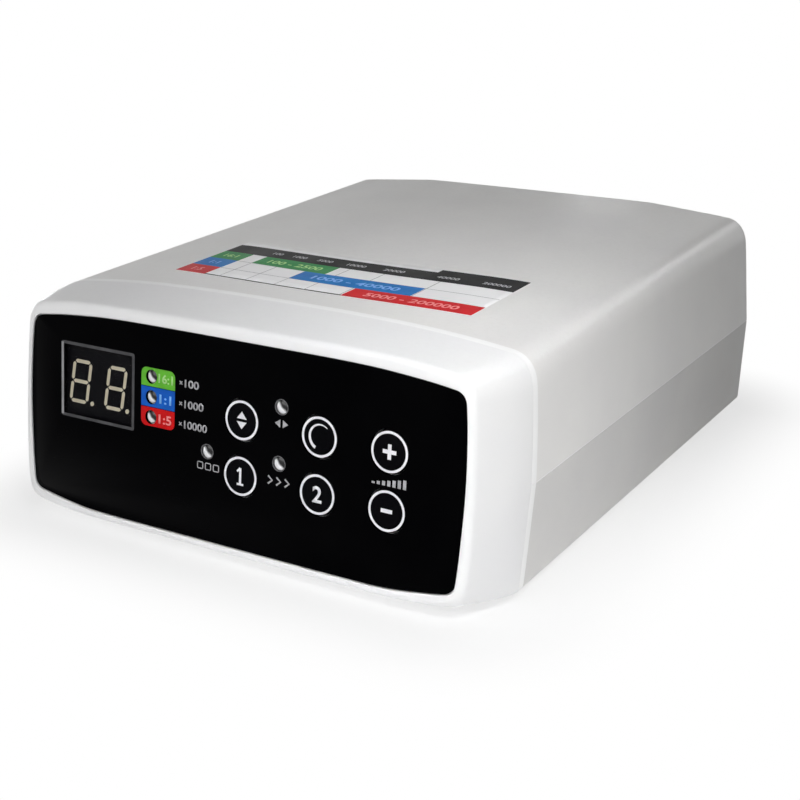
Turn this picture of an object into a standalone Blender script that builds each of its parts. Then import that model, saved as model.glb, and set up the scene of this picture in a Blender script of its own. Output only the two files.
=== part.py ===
"""Control unit of a dental micromotor: a desk-top case with a sloping key panel.

The case is two shells that meet at a belt line, a front bezel round a glossy panel,
and a rear panel trapped between the shells. Blender 4.5, metres, +X right as seen from
the front, +Y to the back, +Z up. The origin is the centre of the footprint, at the
height of the feet.
"""
import math

import bmesh
import bpy
from mathutils import Matrix, Vector

MM = 0.001

# Case shells
case_half_width = 89.3 * MM
case_height = 73.3 * MM
seam_fall = 1.4 * MM
case_length = 207.5 * MM
rear_reach = 12.0 * MM
wall = 2.4 * MM
clearance = 0.3 * MM
overrun = 2.0 * MM
belt_share = 0.4366
shell_lip_height = 2.2 * MM
shell_lip_thickness = 1.5 * MM
shell_lip_root = 3.0 * MM

# Front bezel and the sloping face
face_tilt = math.radians(7.5)
bezel_depth = 22.0 * MM
bezel_wall = 2.4 * MM
bezel_swell = 1.6
rim_inset = 7.1 * MM
rim_fall = 3.3 * MM
rim_drop = 2.8 * MM
rim_lift = 0.3 * MM
rim_round = 1.6 * MM
front_wall = 2.0 * MM
bezel_lip_length = 4.0 * MM
bezel_lip_thickness = 1.6 * MM

# Glossy panel and its display
panel_side_margin = 2.3 * MM
panel_top_margin = 4.0 * MM
panel_thickness = 1.0 * MM
panel_sink = 0.3 * MM
display_width = 28.2 * MM
display_height = 22.4 * MM
display_place_shares = (-0.6483, 0.6566)
display_border = 0.6 * MM
window_thickness = 1.2 * MM

# Keys and their switches
key_radius = 6.35 * MM
key_edge = 0.25 * MM
key_flange = 1.05 * MM
key_flange_thickness = 1.0 * MM
key_stem_radius = 1.9 * MM
key_stem_length = 0.5 * MM
key_travel = 0.5 * MM
key_column_shares = (0.0576, 0.4024, 0.6959)
key_row_share = 0.4976
key_row_pitch = 17.1 * MM
switch_side = 6.0 * MM
plunger_radius = 1.6 * MM
plunger_height = 0.7 * MM

# Indicator lamps
ratio_lamp_radius = 1.5 * MM
ratio_lamp_column_share = -0.373
ratio_lamp_row_shares = (0.7579, 0.6519, 0.5506)
status_lamp_radius = 2.1 * MM
status_lamp_place_shares = ((0.2340, 0.7342), (0.2303, 0.4652), (-0.1001, 0.4446))
lamp_sink = 0.3 * MM
lamp_base = 0.5 * MM

# Circuit boards
board_thickness = 1.6 * MM
board_standoff = 6.0 * MM
display_board_side_gap = 3.9 * MM
display_board_low = 6.0 * MM
display_board_top_gap = 7.2 * MM
display_fixing_inset = 4.0 * MM
main_board_length = 100.0 * MM
main_board_side_gap = 24.9 * MM
main_board_manifold_gap = 3.0 * MM
main_board_setback = 42.0 * MM
main_fixing_inset = 5.0 * MM
boss_radius = 3.0 * MM
peg_radius = 1.3 * MM
peg_reach = 0.7 * MM
ribbon_socket_width = 22.0 * MM
ribbon_socket_depth = 6.0 * MM
ribbon_socket_height = 5.0 * MM
ribbon_width = 18.0 * MM
ribbon_thickness = 0.9 * MM
ribbon_up = 20.0 * MM

# Screws
screw_radius = 1.2 * MM
screw_head_radius = 2.6 * MM
screw_head_height = 1.8 * MM
screw_dome = 0.5 * MM
cross_length = 3.2 * MM
cross_width = 0.8 * MM
cross_depth = 1.0 * MM
board_screw_length = 5.5 * MM
case_screw_length = 18.0 * MM
case_screw_grip = 10.0 * MM
case_screw_inset = 19.3 * MM
case_screw_front = 32.0 * MM
case_screw_rear = 34.0 * MM
case_boss_radius = 4.4 * MM
pilot_depth = 12.0 * MM

# Feet
foot_height = 2.5 * MM
foot_radius = 6.5 * MM
foot_edge = 0.8 * MM
foot_stem_radius = 2.4 * MM
foot_barb = 0.7 * MM
foot_barb_height = 1.6 * MM
foot_inset = 19.3 * MM
foot_front = 14.0 * MM
foot_rear = 15.0 * MM

# Rear panel
rear_panel_thickness = 2.0 * MM
rear_panel_inset = 1.5 * MM
rear_panel_bite = 0.7 * MM
vent_count = 9
vent_width = 2.4 * MM
vent_height = 14.0 * MM
vent_pitch = 5.6 * MM
vent_up_share = 0.7503

# Rocker switch on the rear panel
rocker_place_shares = (-0.6719, 0.4911)
rocker_half_width = 4.6 * MM
rocker_half_height = 7.6 * MM
rocker_crown = 3.8 * MM
rocker_dish = 1.0 * MM
rocker_cheek = 2.2 * MM
rocker_keel = 2.5 * MM
rocker_keel_half = 4.0 * MM
rocker_swing = math.radians(8.0)
rocker_pivot_depth = 1.0 * MM
rocker_play = 0.7 * MM
trunnion_radius = 1.0 * MM
trunnion_length = 1.0 * MM
switch_flange_thickness = 1.6 * MM
switch_flange_edge = 1.0 * MM
switch_wall = 1.6 * MM
switch_cavity_depth = 6.0 * MM
switch_body_depth = 14.0 * MM
switch_blade = (4.8 * MM, 7.0 * MM, 0.8 * MM)
switch_blade_up = 4.5 * MM

# Power jack
jack_place_shares = (-0.4031, 0.2729)
jack_flange_radius = 6.2 * MM
jack_flange_thickness = 1.8 * MM
jack_edge = 0.4 * MM
jack_radius = 4.2 * MM
jack_cavity_radius = 3.1 * MM
jack_cavity_depth = 9.0 * MM
jack_pin_radius = 1.1 * MM
jack_pin_sink = 1.5 * MM
jack_body_depth = 12.0 * MM

# Motor socket
socket_place_shares = (0.0448, 0.3547)
socket_flange_radius = 12.5 * MM
socket_flange_thickness = 2.0 * MM
socket_sleeve_radius = 9.6 * MM
socket_sleeve_length = 6.0 * MM
socket_cavity_radius = 7.4 * MM
socket_cavity_depth = 6.5 * MM
socket_body_radius = 8.6 * MM
socket_body_depth = 16.0 * MM
socket_edge = 0.5 * MM
nut_radius = 12.0 * MM
nut_thickness = 3.0 * MM

# Air fittings, manifold, valve, sensor and tubes
fitting_up_share = 0.3274
inlet_across_share = 0.6719
outlet_across_share = 0.4927
fitting_flange_radius = 5.6 * MM
fitting_flange_thickness = 3.0 * MM
fitting_thread_radius = 3.4 * MM
fitting_stem_radius = 2.1 * MM
fitting_barb = 0.6 * MM
fitting_barb_length = 2.6 * MM
fitting_bore_radius = 1.1 * MM
fitting_inner_reach = 9.0 * MM
manifold_side_gap = 11.9 * MM
manifold_setback = 112.0 * MM
manifold_width = 26.0 * MM
manifold_length = 30.0 * MM
manifold_height = 20.0 * MM
manifold_port_up = 12.0 * MM
manifold_port_length = 4.0 * MM
manifold_port_spread = 5.0 * MM
sensor_port_setback = 6.0 * MM
valve_radius = 9.5 * MM
valve_height = 20.0 * MM
valve_cap_radius = 6.0 * MM
valve_cap_height = 3.0 * MM
sensor_edge_gap = 12.0 * MM
sensor_setback = 112.0 * MM
sensor_side = 12.0 * MM
sensor_height = 6.0 * MM
sensor_port_height = 4.0 * MM
air_tube_radius = 2.3 * MM
tube_overfly = 14.0 * MM

# Parts on the main board
heat_sink_width = 46.0 * MM
heat_sink_length = 30.0 * MM
heat_sink_base = 3.0 * MM
heat_sink_height = 20.0 * MM
heat_sink_fins = 8
heat_sink_fin_share = 0.4
heat_sink_edge_gap = 3.0 * MM
heat_sink_setback = 96.0 * MM
capacitor_radius = 6.5 * MM
capacitor_height = 22.0 * MM
capacitor_groove = 0.5 * MM
capacitor_edge = 0.8 * MM
capacitor_pitch = 16.0 * MM
capacitor_edge_gap = 7.5 * MM
capacitor_setback = 60.0 * MM
lead_radius = 1.5 * MM
motor_lead_radius = 2.2 * MM
lead_landing = 7.0 * MM
lead_socket = (8.0 * MM, 8.0 * MM, 6.0 * MM)

# Speed chart let into the roof
chart_width = 113.2 * MM
chart_depth = 37.0 * MM
chart_bow = 4.0 * MM
chart_shift = 0.6 * MM
chart_setback = 13.9 * MM
chart_thickness = 0.3 * MM
chart_columns = 16

# Sizes that follow the case
seam_height = case_height - seam_fall
rim_half_width = case_half_width - rim_inset
rim_height = case_height - rim_fall
panel_half_width = rim_half_width - panel_side_margin
panel_height = rim_height - rim_drop - panel_top_margin

# Outlines, from the middle of the floor to the middle of the roof, as shares of the
# half width and the height: floor, low corner, side, shoulder, roof
rear_outline_shares = (
    (0, 0), (0.672, 0), (0.896, 0), (0.964, 0), (0.982, 0), (0.983, 0.022), (0.989, 0.164),
    (1, belt_share), (0.987, 0.649), (0.975, 0.845), (0.961, 0.953), (0.885, 0.963),
    (0.739, 0.9785), (0.566, 0.996), (0.521, 1), (0, 1))
seam_belt_share = belt_share * case_height / seam_height
seam_outline_shares = (
    (0, 0), (0.672, 0), (0.896, 0), (0.964, 0), (0.982, 0), (0.983, 0.022), (0.989, 0.164),
    (1, seam_belt_share), (0.993, 0.640), (0.981, 0.814), (0.973, 0.947), (0.868, 0.953),
    (0.739, 0.971), (0.560, 0.987), (0.336, 0.9965), (0, 1))
rim_outline_shares = (
    (0, 0), (0.657, 0), (0.803, 0.011), (0.912, 0.027), (0.984, 0.037), (0.988, 0.111),
    (0.996, 0.197), (1, 0.414), (0.994, 0.686), (0.985, 0.854), (0.985, 0.963),
    (0.882, 0.973), (0.803, 0.984), (0.693, 0.995), (0.535, 1), (0, 1))
panel_outline_shares = (
    (0, 0), (0.626, 0), (0.751, 0.0095), (0.932, 0.044), (0.979, 0.052), (0.982, 0.103),
    (0.991, 0.253), (1, 0.522), (0.994, 0.759), (0.984, 0.889), (0.981, 0.957),
    (0.929, 0.960), (0.851, 0.973), (0.751, 0.984), (0.563, 1), (0, 1))
bezel_depth_shares = (0.18, 0.36, 0.6, 1)
low_corner_steps = 3
shoulder_steps = 6
half_count = 16 + low_corner_steps - 2 + shoulder_steps - 2
belt_index = low_corner_steps + 5
round_steps = 24
small_steps = 12

# Heights and depths that follow
belt_height = belt_share * case_height
floor_z = foot_height + clearance
inner_floor_z = floor_z + wall
belt_z = floor_z + belt_height
front_y = -(case_length + rear_reach) / 2
rear_y = front_y + case_length
face_y = front_y + (rim_drop - rim_round) * math.sin(face_tilt)
face_z = floor_z + rim_lift + rim_drop * math.cos(face_tilt)
panel_front = -panel_sink
panel_back = panel_front - panel_thickness
wall_front = panel_back - clearance
wall_back = wall_front - front_wall
board_front = wall_back - board_standoff
board_back = board_front - board_thickness
key_hole_radius = key_radius + clearance
key_flange_front = wall_back - clearance
key_flange_back = key_flange_front - key_flange_thickness
key_stem_end = key_flange_back - key_stem_length
plunger_top = key_stem_end - key_travel - clearance
component_seat = board_front + clearance
fixing_hole_radius = screw_radius + clearance
rear_outer_y = rear_y - rear_panel_inset
rear_inner_y = rear_outer_y - rear_panel_thickness
main_board_z = inner_floor_z + board_standoff
main_board_top = main_board_z + board_thickness
main_seat = main_board_top + clearance

# Places across the panel, in its own plane
display_across, display_up = (share * size for share, size
                              in zip(display_place_shares, (panel_half_width, panel_height)))
key_columns = [share * panel_half_width for share in key_column_shares]
key_rows = [key_row_share * panel_height + side * key_row_pitch / 2 for side in (1, -1)]
ratio_lamp_across = ratio_lamp_column_share * panel_half_width
ratio_lamp_rows = [share * panel_height for share in ratio_lamp_row_shares]
status_lamp_places = [(u * panel_half_width, v * panel_height) for u, v in status_lamp_place_shares]
display_board_half_width = panel_half_width - display_board_side_gap
display_board_height = panel_height - display_board_low - display_board_top_gap

# Places across the case
case_screw_across = case_half_width - case_screw_inset
foot_across = case_half_width - foot_inset
manifold_across = case_half_width - wall - manifold_side_gap - manifold_width / 2
main_board_left = -(case_half_width - wall - main_board_side_gap)
main_board_right = manifold_across - manifold_width / 2 - main_board_manifold_gap
heat_sink_across = main_board_left + heat_sink_edge_gap + heat_sink_width / 2
capacitor_right = main_board_right - capacitor_edge_gap - capacitor_radius
capacitor_across = (capacitor_right - capacitor_pitch, capacitor_right)
sensor_across = main_board_right - sensor_edge_gap - sensor_side / 2

# Places on the rear panel
rocker_across, rocker_up = (share * size for share, size
                            in zip(rocker_place_shares, (case_half_width, case_height)))
jack_across, jack_up = (share * size for share, size
                        in zip(jack_place_shares, (case_half_width, case_height)))
socket_across, socket_up = (share * size for share, size
                            in zip(socket_place_shares, (case_half_width, case_height)))
inlet_across = inlet_across_share * case_half_width
outlet_across = outlet_across_share * case_half_width
fitting_up = fitting_up_share * case_height
vent_up = vent_up_share * case_height

face_matrix = (Matrix.Translation((0, face_y, face_z))
               @ Matrix.Rotation(math.pi / 2 - face_tilt, 4, "X"))
to_rear = Matrix.Rotation(-math.pi / 2, 4, "X")


def clear_scene():
    """Start from an empty scene."""
    for old in list(bpy.data.objects):
        bpy.data.objects.remove(old, do_unlink=True)


def finish(name, colour, roughness, metallic=0.0):
    """A plain surface finish."""
    surface = bpy.data.materials.new(name)
    surface.use_nodes = True
    shader = surface.node_tree.nodes["Principled BSDF"]
    shader.inputs["Base Color"].default_value = (*colour, 1)
    shader.inputs["Roughness"].default_value = roughness
    shader.inputs["Metallic"].default_value = metallic
    return surface


def place(name, build, surface=None, parent=None, matrix=None, smooth=False):
    """Make one object from a function that fills a bmesh."""
    mesh = bpy.data.meshes.new(name)
    shape = bmesh.new()
    build(shape)
    bmesh.ops.recalc_face_normals(shape, faces=shape.faces)
    shape.to_mesh(mesh)
    shape.free()
    if smooth:
        mesh.shade_smooth()
        mesh.set_sharp_from_angle(angle=math.radians(35))
    piece = bpy.data.objects.new(name, mesh)
    bpy.context.scene.collection.objects.link(piece)
    if surface:
        mesh.materials.append(surface)
    if parent:
        piece.parent = parent
    if matrix:
        piece.matrix_local = matrix
    return piece


def combine(piece, suffix, operation, build, matrix=None):
    """Cut or add a helper shape with an exact Boolean."""
    tool = place(piece.name + "_" + suffix, build, parent=piece.parent, matrix=matrix)
    tool.hide_render = True
    tool.display_type = "WIRE"
    change = piece.modifiers.new(suffix, "BOOLEAN")
    change.operation = operation
    change.solver = "EXACT"
    change.object = tool
    return tool


def carve(piece, suffix, build, matrix=None):
    """Take a helper shape away from a piece."""
    return combine(piece, suffix, "DIFFERENCE", build, matrix)


def unite(piece, suffix, build, matrix=None):
    """Join a helper shape to a piece."""
    return combine(piece, suffix, "UNION", build, matrix)


def frame_empty(name, matrix):
    """An empty that carries a group of pieces."""
    carrier = bpy.data.objects.new(name, None)
    bpy.context.scene.collection.objects.link(carrier)
    carrier.matrix_world = matrix
    return carrier


def loft(shape, rings, cap=True):
    """Skin a row of rings of equal point counts, with flat ends."""
    rows = [[shape.verts.new(point) for point in ring] for ring in rings]
    for near, far in zip(rows, rows[1:]):
        for index in range(len(near)):
            following = (index + 1) % len(near)
            shape.faces.new((near[index], near[following], far[following], far[index]))
    if cap:
        shape.faces.new(rows[0][::-1])
        shape.faces.new(rows[-1])


def turn(shape, profile, steps, centre=(0, 0, 0), closed=False):
    """Turn a profile of (radius, height) pairs about the Z axis through centre."""
    rows = []
    for radius, height in profile:
        if radius == 0:
            rows.append([shape.verts.new((centre[0], centre[1], centre[2] + height))])
            continue
        row = []
        for step in range(steps):
            angle = math.tau * step / steps
            row.append(shape.verts.new((centre[0] + radius * math.cos(angle),
                                        centre[1] + radius * math.sin(angle),
                                        centre[2] + height)))
        rows.append(row)
    pairs = list(zip(rows, rows[1:]))
    if closed:
        pairs.append((rows[-1], rows[0]))
    for near, far in pairs:
        for step in range(steps):
            following = (step + 1) % steps
            if len(near) == 1:
                shape.faces.new((near[0], far[following], far[step]))
            elif len(far) == 1:
                shape.faces.new((near[step], near[following], far[0]))
            else:
                shape.faces.new((near[step], near[following], far[following], far[step]))


def disc(shape, centre, radius, low, high, steps=round_steps):
    """A plain round bar along Z."""
    turn(shape, ((0, low), (radius, low), (radius, high), (0, high)), steps, centre)


def block(shape, low, high):
    """A box between two corners."""
    rings = [[(low[0], low[1], z), (high[0], low[1], z), (high[0], high[1], z), (low[0], high[1], z)]
             for z in (low[2], high[2])]
    loft(shape, rings)


def centred_block(shape, centre, size):
    """A box about its centre."""
    low = [middle - side / 2 for middle, side in zip(centre, size)]
    high = [middle + side / 2 for middle, side in zip(centre, size)]
    block(shape, low, high)


def corner(start, middle, end, steps):
    """A smooth corner from start to end that leans towards middle."""
    points = []
    for step in range(steps + 1):
        t = step / steps
        points.append(tuple((1 - t) ** 2 * a + 2 * t * (1 - t) * b + t * t * c
                            for a, b, c in zip(start, middle, end)))
    return points


def outline(shares, half_width, height):
    """A symmetric closed outline, anticlockwise from the middle of its floor."""
    marks = [(across * half_width, up * height) for across, up in shares]
    half = (marks[:3] + corner(*marks[3:6], low_corner_steps) + marks[6:9]
            + corner(*marks[9:12], shoulder_steps) + marks[12:])
    return half + [(-across, up) for across, up in half[-2:0:-1]]


def shrink(ring, amount):
    """Draw an outline in by the same amount at its sides, floor and top."""
    half_width = max(across for across, up in ring)
    low = min(up for across, up in ring)
    half_height = (max(up for across, up in ring) - low) / 2
    middle = low + half_height
    wide = 1 - amount / half_width
    tall = 1 - amount / half_height
    return [(across * wide, middle + (up - middle) * tall) for across, up in ring]


def seam_y(z, depth=bezel_depth):
    """Where the plane at a depth behind the sloping face crosses a height."""
    return face_y + depth / math.cos(face_tilt) + (z - face_z) * math.tan(face_tilt)


def seam_ring(amount=0.0):
    """The case outline at the bezel, in the face's own plane."""
    drop = bezel_depth * math.sin(face_tilt)
    ring = shrink(outline(seam_outline_shares, case_half_width, seam_height), amount)
    return [(across, (floor_z + up - face_z + drop) / math.cos(face_tilt)) for across, up in ring]


def rim_ring(depth, inset):
    """The bezel's outer outline at a depth behind its front."""
    front = shrink(outline(rim_outline_shares, rim_half_width, rim_height), inset)
    share = depth / bezel_depth
    swell = 1 - (1 - share) ** bezel_swell
    return [(a[0] + (b[0] - a[0]) * swell, a[1] - rim_drop + (b[1] - a[1] + rim_drop) * share)
            for a, b in zip(front, seam_ring())]


def panel_ring(grow=0.0):
    """The panel's outline in the face's own plane."""
    return shrink(outline(panel_outline_shares, panel_half_width, panel_height), -grow)


def flat(ring, w):
    """Give an outline its place along the face's outward normal."""
    return [(across, up, w) for across, up in ring]


def roof_height(x, ring):
    """Height of an outline's upper edge over a place across the case."""
    upper = ring[belt_index:half_count]
    for near, far in zip(upper, upper[1:]):
        if far[0] <= abs(x) <= near[0]:
            share = (near[0] - abs(x)) / (near[0] - far[0])
            return near[1] + share * (far[1] - near[1])
    return upper[0][1]


def roof_z(x, y):
    """Height of the outside of the roof."""
    front = roof_height(x, outline(seam_outline_shares, case_half_width, seam_height))
    back = roof_height(x, outline(rear_outline_shares, case_half_width, case_height))
    start = seam_y(floor_z + front)
    share = (y - start) / (rear_y - start)
    return floor_z + front + (back - front) * share


def roof_post(shape, x, y, radius, low, cover=wall / 2):
    """A round post whose upper end follows the inside of the roof."""
    rings = []
    for level in (0, 1):
        ring = []
        for step in range(round_steps):
            angle = math.tau * step / round_steps
            px = x + radius * math.cos(angle)
            py = y + radius * math.sin(angle)
            ring.append((px, py, roof_z(px, py) - cover if level else low))
        rings.append(ring)
    loft(shape, rings)


def shell_rings(section):
    """Place a section at the slanted front seam and at the rear edge."""
    front = section(outline(seam_outline_shares, case_half_width, seam_height))
    rear = section(outline(rear_outline_shares, case_half_width, case_height))
    start = bezel_depth + clearance
    return [[(x, seam_y(floor_z + up, start), floor_z + up) for x, up in front],
            [(x, rear_y, floor_z + up) for x, up in rear]]


def upper_section(ring):
    """Wall of the top cover, from belt to belt."""
    top = 2 * half_count - belt_index - 1
    edge = belt_height + clearance / 2
    inner = shrink(ring, wall)
    outer_path = [ring[index] for index in range(belt_index, top)]
    inner_path = [inner[index] for index in range(top - 2, belt_index, -1)]
    outer_path[0] = (outer_path[0][0], edge)
    outer_path[-1] = (outer_path[-1][0], edge)
    side = inner[belt_index][0]
    return outer_path + [(-side, edge)] + inner_path + [(side, edge)]


def lower_section(ring):
    """Wall of the bottom case, with a lip that guides the top cover."""
    last = 2 * half_count - belt_index - 2
    edge = belt_height - clearance / 2
    inner = shrink(ring, wall)
    order = list(range(last, len(ring))) + list(range(belt_index + 1))
    outer_path = [ring[index] for index in order]
    outer_path[0] = (outer_path[0][0], edge)
    outer_path[-1] = (outer_path[-1][0], edge)
    side = inner[belt_index][0] - clearance
    face = side - shell_lip_thickness
    top = belt_height + shell_lip_height
    lip = [(side, edge), (side, top), (face, top), (face, edge - shell_lip_root),
           (inner[belt_index][0], edge - 2 * shell_lip_root)]
    inner_path = [inner[index] for index in order[-2:0:-1]]
    return outer_path + lip + inner_path + [(-x, up) for x, up in reversed(lip)]


def case_screw_places():
    """Centres of the four screws that hold the shells together."""
    return [(side * case_screw_across, y) for side in (-1, 1)
            for y in (seam_y(floor_z) + case_screw_front, rear_y - case_screw_rear)]


def foot_places():
    """Centres of the four feet."""
    return [(side * foot_across, y) for side in (-1, 1)
            for y in (seam_y(floor_z) + foot_front, rear_y - foot_rear)]


def main_board_corners():
    """Fixing places of the main board: two screws, then two pegs."""
    low = front_y + main_board_setback + main_fixing_inset
    high = low + main_board_length - 2 * main_fixing_inset
    left = main_board_left + main_fixing_inset
    right = main_board_right - main_fixing_inset
    return [(left, low), (right, high), (right, low), (left, high)]


def display_board_corners():
    """Fixing places of the display board: two screws, then two pegs."""
    reach = display_board_half_width - display_fixing_inset
    low = display_board_low + display_fixing_inset
    high = display_board_low + display_board_height - display_fixing_inset
    return [(-reach, low), (reach, high), (reach, low), (-reach, high)]


def rear_groove(grow, margin):
    """A slab with the rear opening's outline, larger all round by grow."""
    ring = shrink(outline(rear_outline_shares, case_half_width, case_height), wall - grow)
    near = rear_inner_y - margin
    far = rear_outer_y + margin
    return [[(x, y, floor_z + up) for x, up in ring] for y in (near, far)]


def make_top_cover(surface):
    """Upper shell with four posts, the rear panel's groove and a seat for the chart."""
    cover = place("top_cover", lambda shape: loft(shape, shell_rings(upper_section)), surface,
                  smooth=True)

    def posts(shape):
        for x, y in case_screw_places():
            roof_post(shape, x, y, case_boss_radius, belt_z + clearance / 2)

    def cuts(shape):
        for x, y in case_screw_places():
            disc(shape, (x, y, belt_z), fixing_hole_radius, -overrun, pilot_depth, small_steps)
        loft(shape, rear_groove(rear_panel_bite + clearance, clearance))
        chart_slab(shape, clearance, -(chart_thickness + clearance), overrun)

    unite(cover, "posts", posts)
    carve(cover, "cuts", cuts)
    return cover


def make_bottom_case(surface):
    """Lower shell with bosses for the screws, the main board and the feet."""
    case = place("bottom_case", lambda shape: loft(shape, shell_rings(lower_section)), surface,
                 smooth=True)
    root = floor_z + wall / 2
    step_z = belt_z - case_screw_grip

    def bosses(shape):
        for x, y in case_screw_places():
            disc(shape, (x, y, 0), case_boss_radius, root, belt_z - clearance / 2)
        for index, (x, y) in enumerate(main_board_corners()):
            disc(shape, (x, y, 0), boss_radius, root, main_board_z - clearance, small_steps)
            if index > 1:
                disc(shape, (x, y, 0), peg_radius, root, main_board_top + peg_reach, small_steps)

    def cuts(shape):
        for x, y in case_screw_places():
            profile = ((0, floor_z - overrun), (screw_head_radius + clearance, floor_z - overrun),
                       (screw_head_radius + clearance, step_z), (fixing_hole_radius, step_z),
                       (fixing_hole_radius, belt_z + overrun), (0, belt_z + overrun))
            turn(shape, profile, small_steps, (x, y, 0))
        for x, y in main_board_corners()[:2]:
            disc(shape, (x, y, 0), fixing_hole_radius, root + clearance, main_board_z + overrun,
                 small_steps)
        for x, y in foot_places():
            disc(shape, (x, y, 0), foot_stem_radius + clearance, floor_z - overrun,
                 inner_floor_z + overrun, small_steps)

    def grooves(shape):
        loft(shape, rear_groove(rear_panel_bite + clearance, clearance))

    def front_step(shape):
        ring = seam_ring(wall - clearance / 2)
        deep = bezel_depth + bezel_lip_length + 2 * clearance
        loft(shape, [flat(ring, -bezel_depth + clearance), flat(ring, -deep)])

    unite(case, "bosses", bosses)
    carve(case, "cuts", cuts)
    carve(case, "grooves", grooves)
    carve(case, "front_step", front_step, face_matrix)
    return case


def make_front_bezel(surface, face):
    """Ring round the panel, with a wall behind it and a lip inside the shells."""
    rounding = rim_round * (1 - math.sqrt(0.5))
    rings = [flat(panel_ring(clearance), wall_front), flat(panel_ring(clearance), 0),
             flat(rim_ring(0, rim_round), 0), flat(rim_ring(rounding, rounding), -rounding),
             flat(rim_ring(rim_round, 0), -rim_round)]
    for share in bezel_depth_shares:
        rings.append(flat(rim_ring(share * bezel_depth, 0), -share * bezel_depth))
    end = -(bezel_depth + bezel_lip_length)
    lip_outer = seam_ring(wall + clearance)
    lip_inner = seam_ring(wall + clearance + bezel_lip_thickness)
    middle_share = bezel_depth_shares[1]
    middle = middle_share * bezel_depth
    rings += [flat(lip_outer, -bezel_depth), flat(lip_outer, end), flat(lip_inner, end),
              flat(lip_inner, -bezel_depth), flat(shrink(rim_ring(middle, 0), bezel_wall), -middle),
              flat(shrink(rim_ring(-wall_back, 0), bezel_wall), wall_back)]
    bezel = place("front_bezel", lambda shape: loft(shape, rings), surface, face, smooth=True)

    def bosses(shape):
        for u, v in display_board_corners():
            disc(shape, (u, v, 0), boss_radius, component_seat, wall_back + clearance, small_steps)

    def pegs(shape):
        for u, v in display_board_corners()[2:]:
            disc(shape, (u, v, 0), peg_radius, board_back - peg_reach, wall_back + clearance,
                 small_steps)

    def windows(shape):
        for u in key_columns:
            for v in key_rows:
                disc(shape, (u, v, 0), key_hole_radius, wall_back - overrun, overrun)
        for v in ratio_lamp_rows:
            disc(shape, (ratio_lamp_across, v, 0), ratio_lamp_radius + clearance,
                 wall_back - overrun, overrun, small_steps)
        for u, v in status_lamp_places:
            disc(shape, (u, v, 0), status_lamp_radius + clearance, wall_back - overrun, overrun,
                 small_steps)
        wide = display_width + 2 * (display_border + clearance)
        tall = display_height + 2 * (display_border + clearance)
        deep = 2 * overrun - wall_back
        centred_block(shape, (display_across, display_up, wall_back / 2), (wide, tall, deep))
        for u, v in display_board_corners()[:2]:
            disc(shape, (u, v, 0), fixing_hole_radius, board_front - overrun,
                 board_front + board_screw_length - board_thickness, small_steps)

    unite(bezel, "bosses", bosses)
    unite(bezel, "pegs", pegs)
    carve(bezel, "windows", windows)
    return bezel


def make_front_panel(surface, face):
    """Glossy sheet with openings for the display, the lamps and the keys."""
    rings = [flat(panel_ring(), panel_back), flat(panel_ring(), panel_front)]
    panel = place("front_panel", lambda shape: loft(shape, rings), surface, face)

    def windows(shape):
        for u in key_columns:
            for v in key_rows:
                disc(shape, (u, v, 0), key_hole_radius, panel_back - overrun, overrun)
        for v in ratio_lamp_rows:
            disc(shape, (ratio_lamp_across, v, 0), ratio_lamp_radius + clearance,
                 panel_back - overrun, overrun, small_steps)
        for u, v in status_lamp_places:
            disc(shape, (u, v, 0), status_lamp_radius + clearance, panel_back - overrun, overrun,
                 small_steps)
        centred_block(shape, (display_across, display_up, 0),
                      (display_width, display_height, 2 * overrun + 2 * panel_thickness))

    carve(panel, "windows", windows)
    return panel


def make_display(window_surface, module_surface, face):
    """Clear window and the two-digit module behind it."""
    window_back = panel_front - window_thickness
    place("display_window",
          lambda shape: centred_block(shape,
                                      (display_across, display_up, (panel_front + window_back) / 2),
                                      (display_width - 2 * clearance, display_height - 2 * clearance,
                                       window_thickness)), window_surface, face)
    module_front = window_back - clearance
    place("display_module",
          lambda shape: centred_block(shape,
                                      (display_across, display_up, (module_front + component_seat) / 2),
                                      (display_width + 2 * display_border,
                                       display_height + 2 * display_border,
                                       module_front - component_seat)), module_surface, face)


def make_lamp(name, surface, face, u, v, radius):
    """Small round lamp on its stand-off, with a domed lens in the panel's hole."""
    top = panel_front - lamp_sink
    shoulder = wall_back - 2 * clearance
    profile = [(0, top)]
    for step in range(1, 5):
        angle = math.pi / 2 * step / 4
        profile.append((radius * math.sin(angle), top - radius * (1 - math.cos(angle))))
    profile += [(radius, shoulder), (radius + lamp_base, shoulder),
                (radius + lamp_base, component_seat), (0, component_seat)]
    place(name, lambda shape: turn(shape, profile, small_steps), surface, face,
          Matrix.Translation((u, v, 0)), smooth=True)


def make_key(name, surface, face, u, v):
    """Flush round key with a flange behind the bezel's wall and a short stem."""
    flange_radius = key_radius + key_flange
    profile = ((0, panel_front), (key_radius - key_edge, panel_front),
               (key_radius, panel_front - key_edge), (key_radius, key_flange_front),
               (flange_radius, key_flange_front), (flange_radius, key_flange_back),
               (key_stem_radius, key_flange_back), (key_stem_radius, key_stem_end),
               (0, key_stem_end))
    place(name, lambda shape: turn(shape, profile, round_steps), surface, face,
          Matrix.Translation((u, v, 0)), smooth=True)


def make_key_switch(name, surface, face, u, v):
    """Push switch on the display board, below its key."""
    body_top = plunger_top - plunger_height
    switch = place(name, lambda shape: centred_block(shape, (0, 0, (body_top + component_seat) / 2),
                                                     (switch_side, switch_side,
                                                      body_top - component_seat)),
                   surface, face, Matrix.Translation((u, v, 0)))
    unite(switch, "plunger",
          lambda shape: disc(shape, (0, 0, 0), plunger_radius, body_top - plunger_height, plunger_top,
                             small_steps), Matrix.Translation((u, v, 0)))


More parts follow.
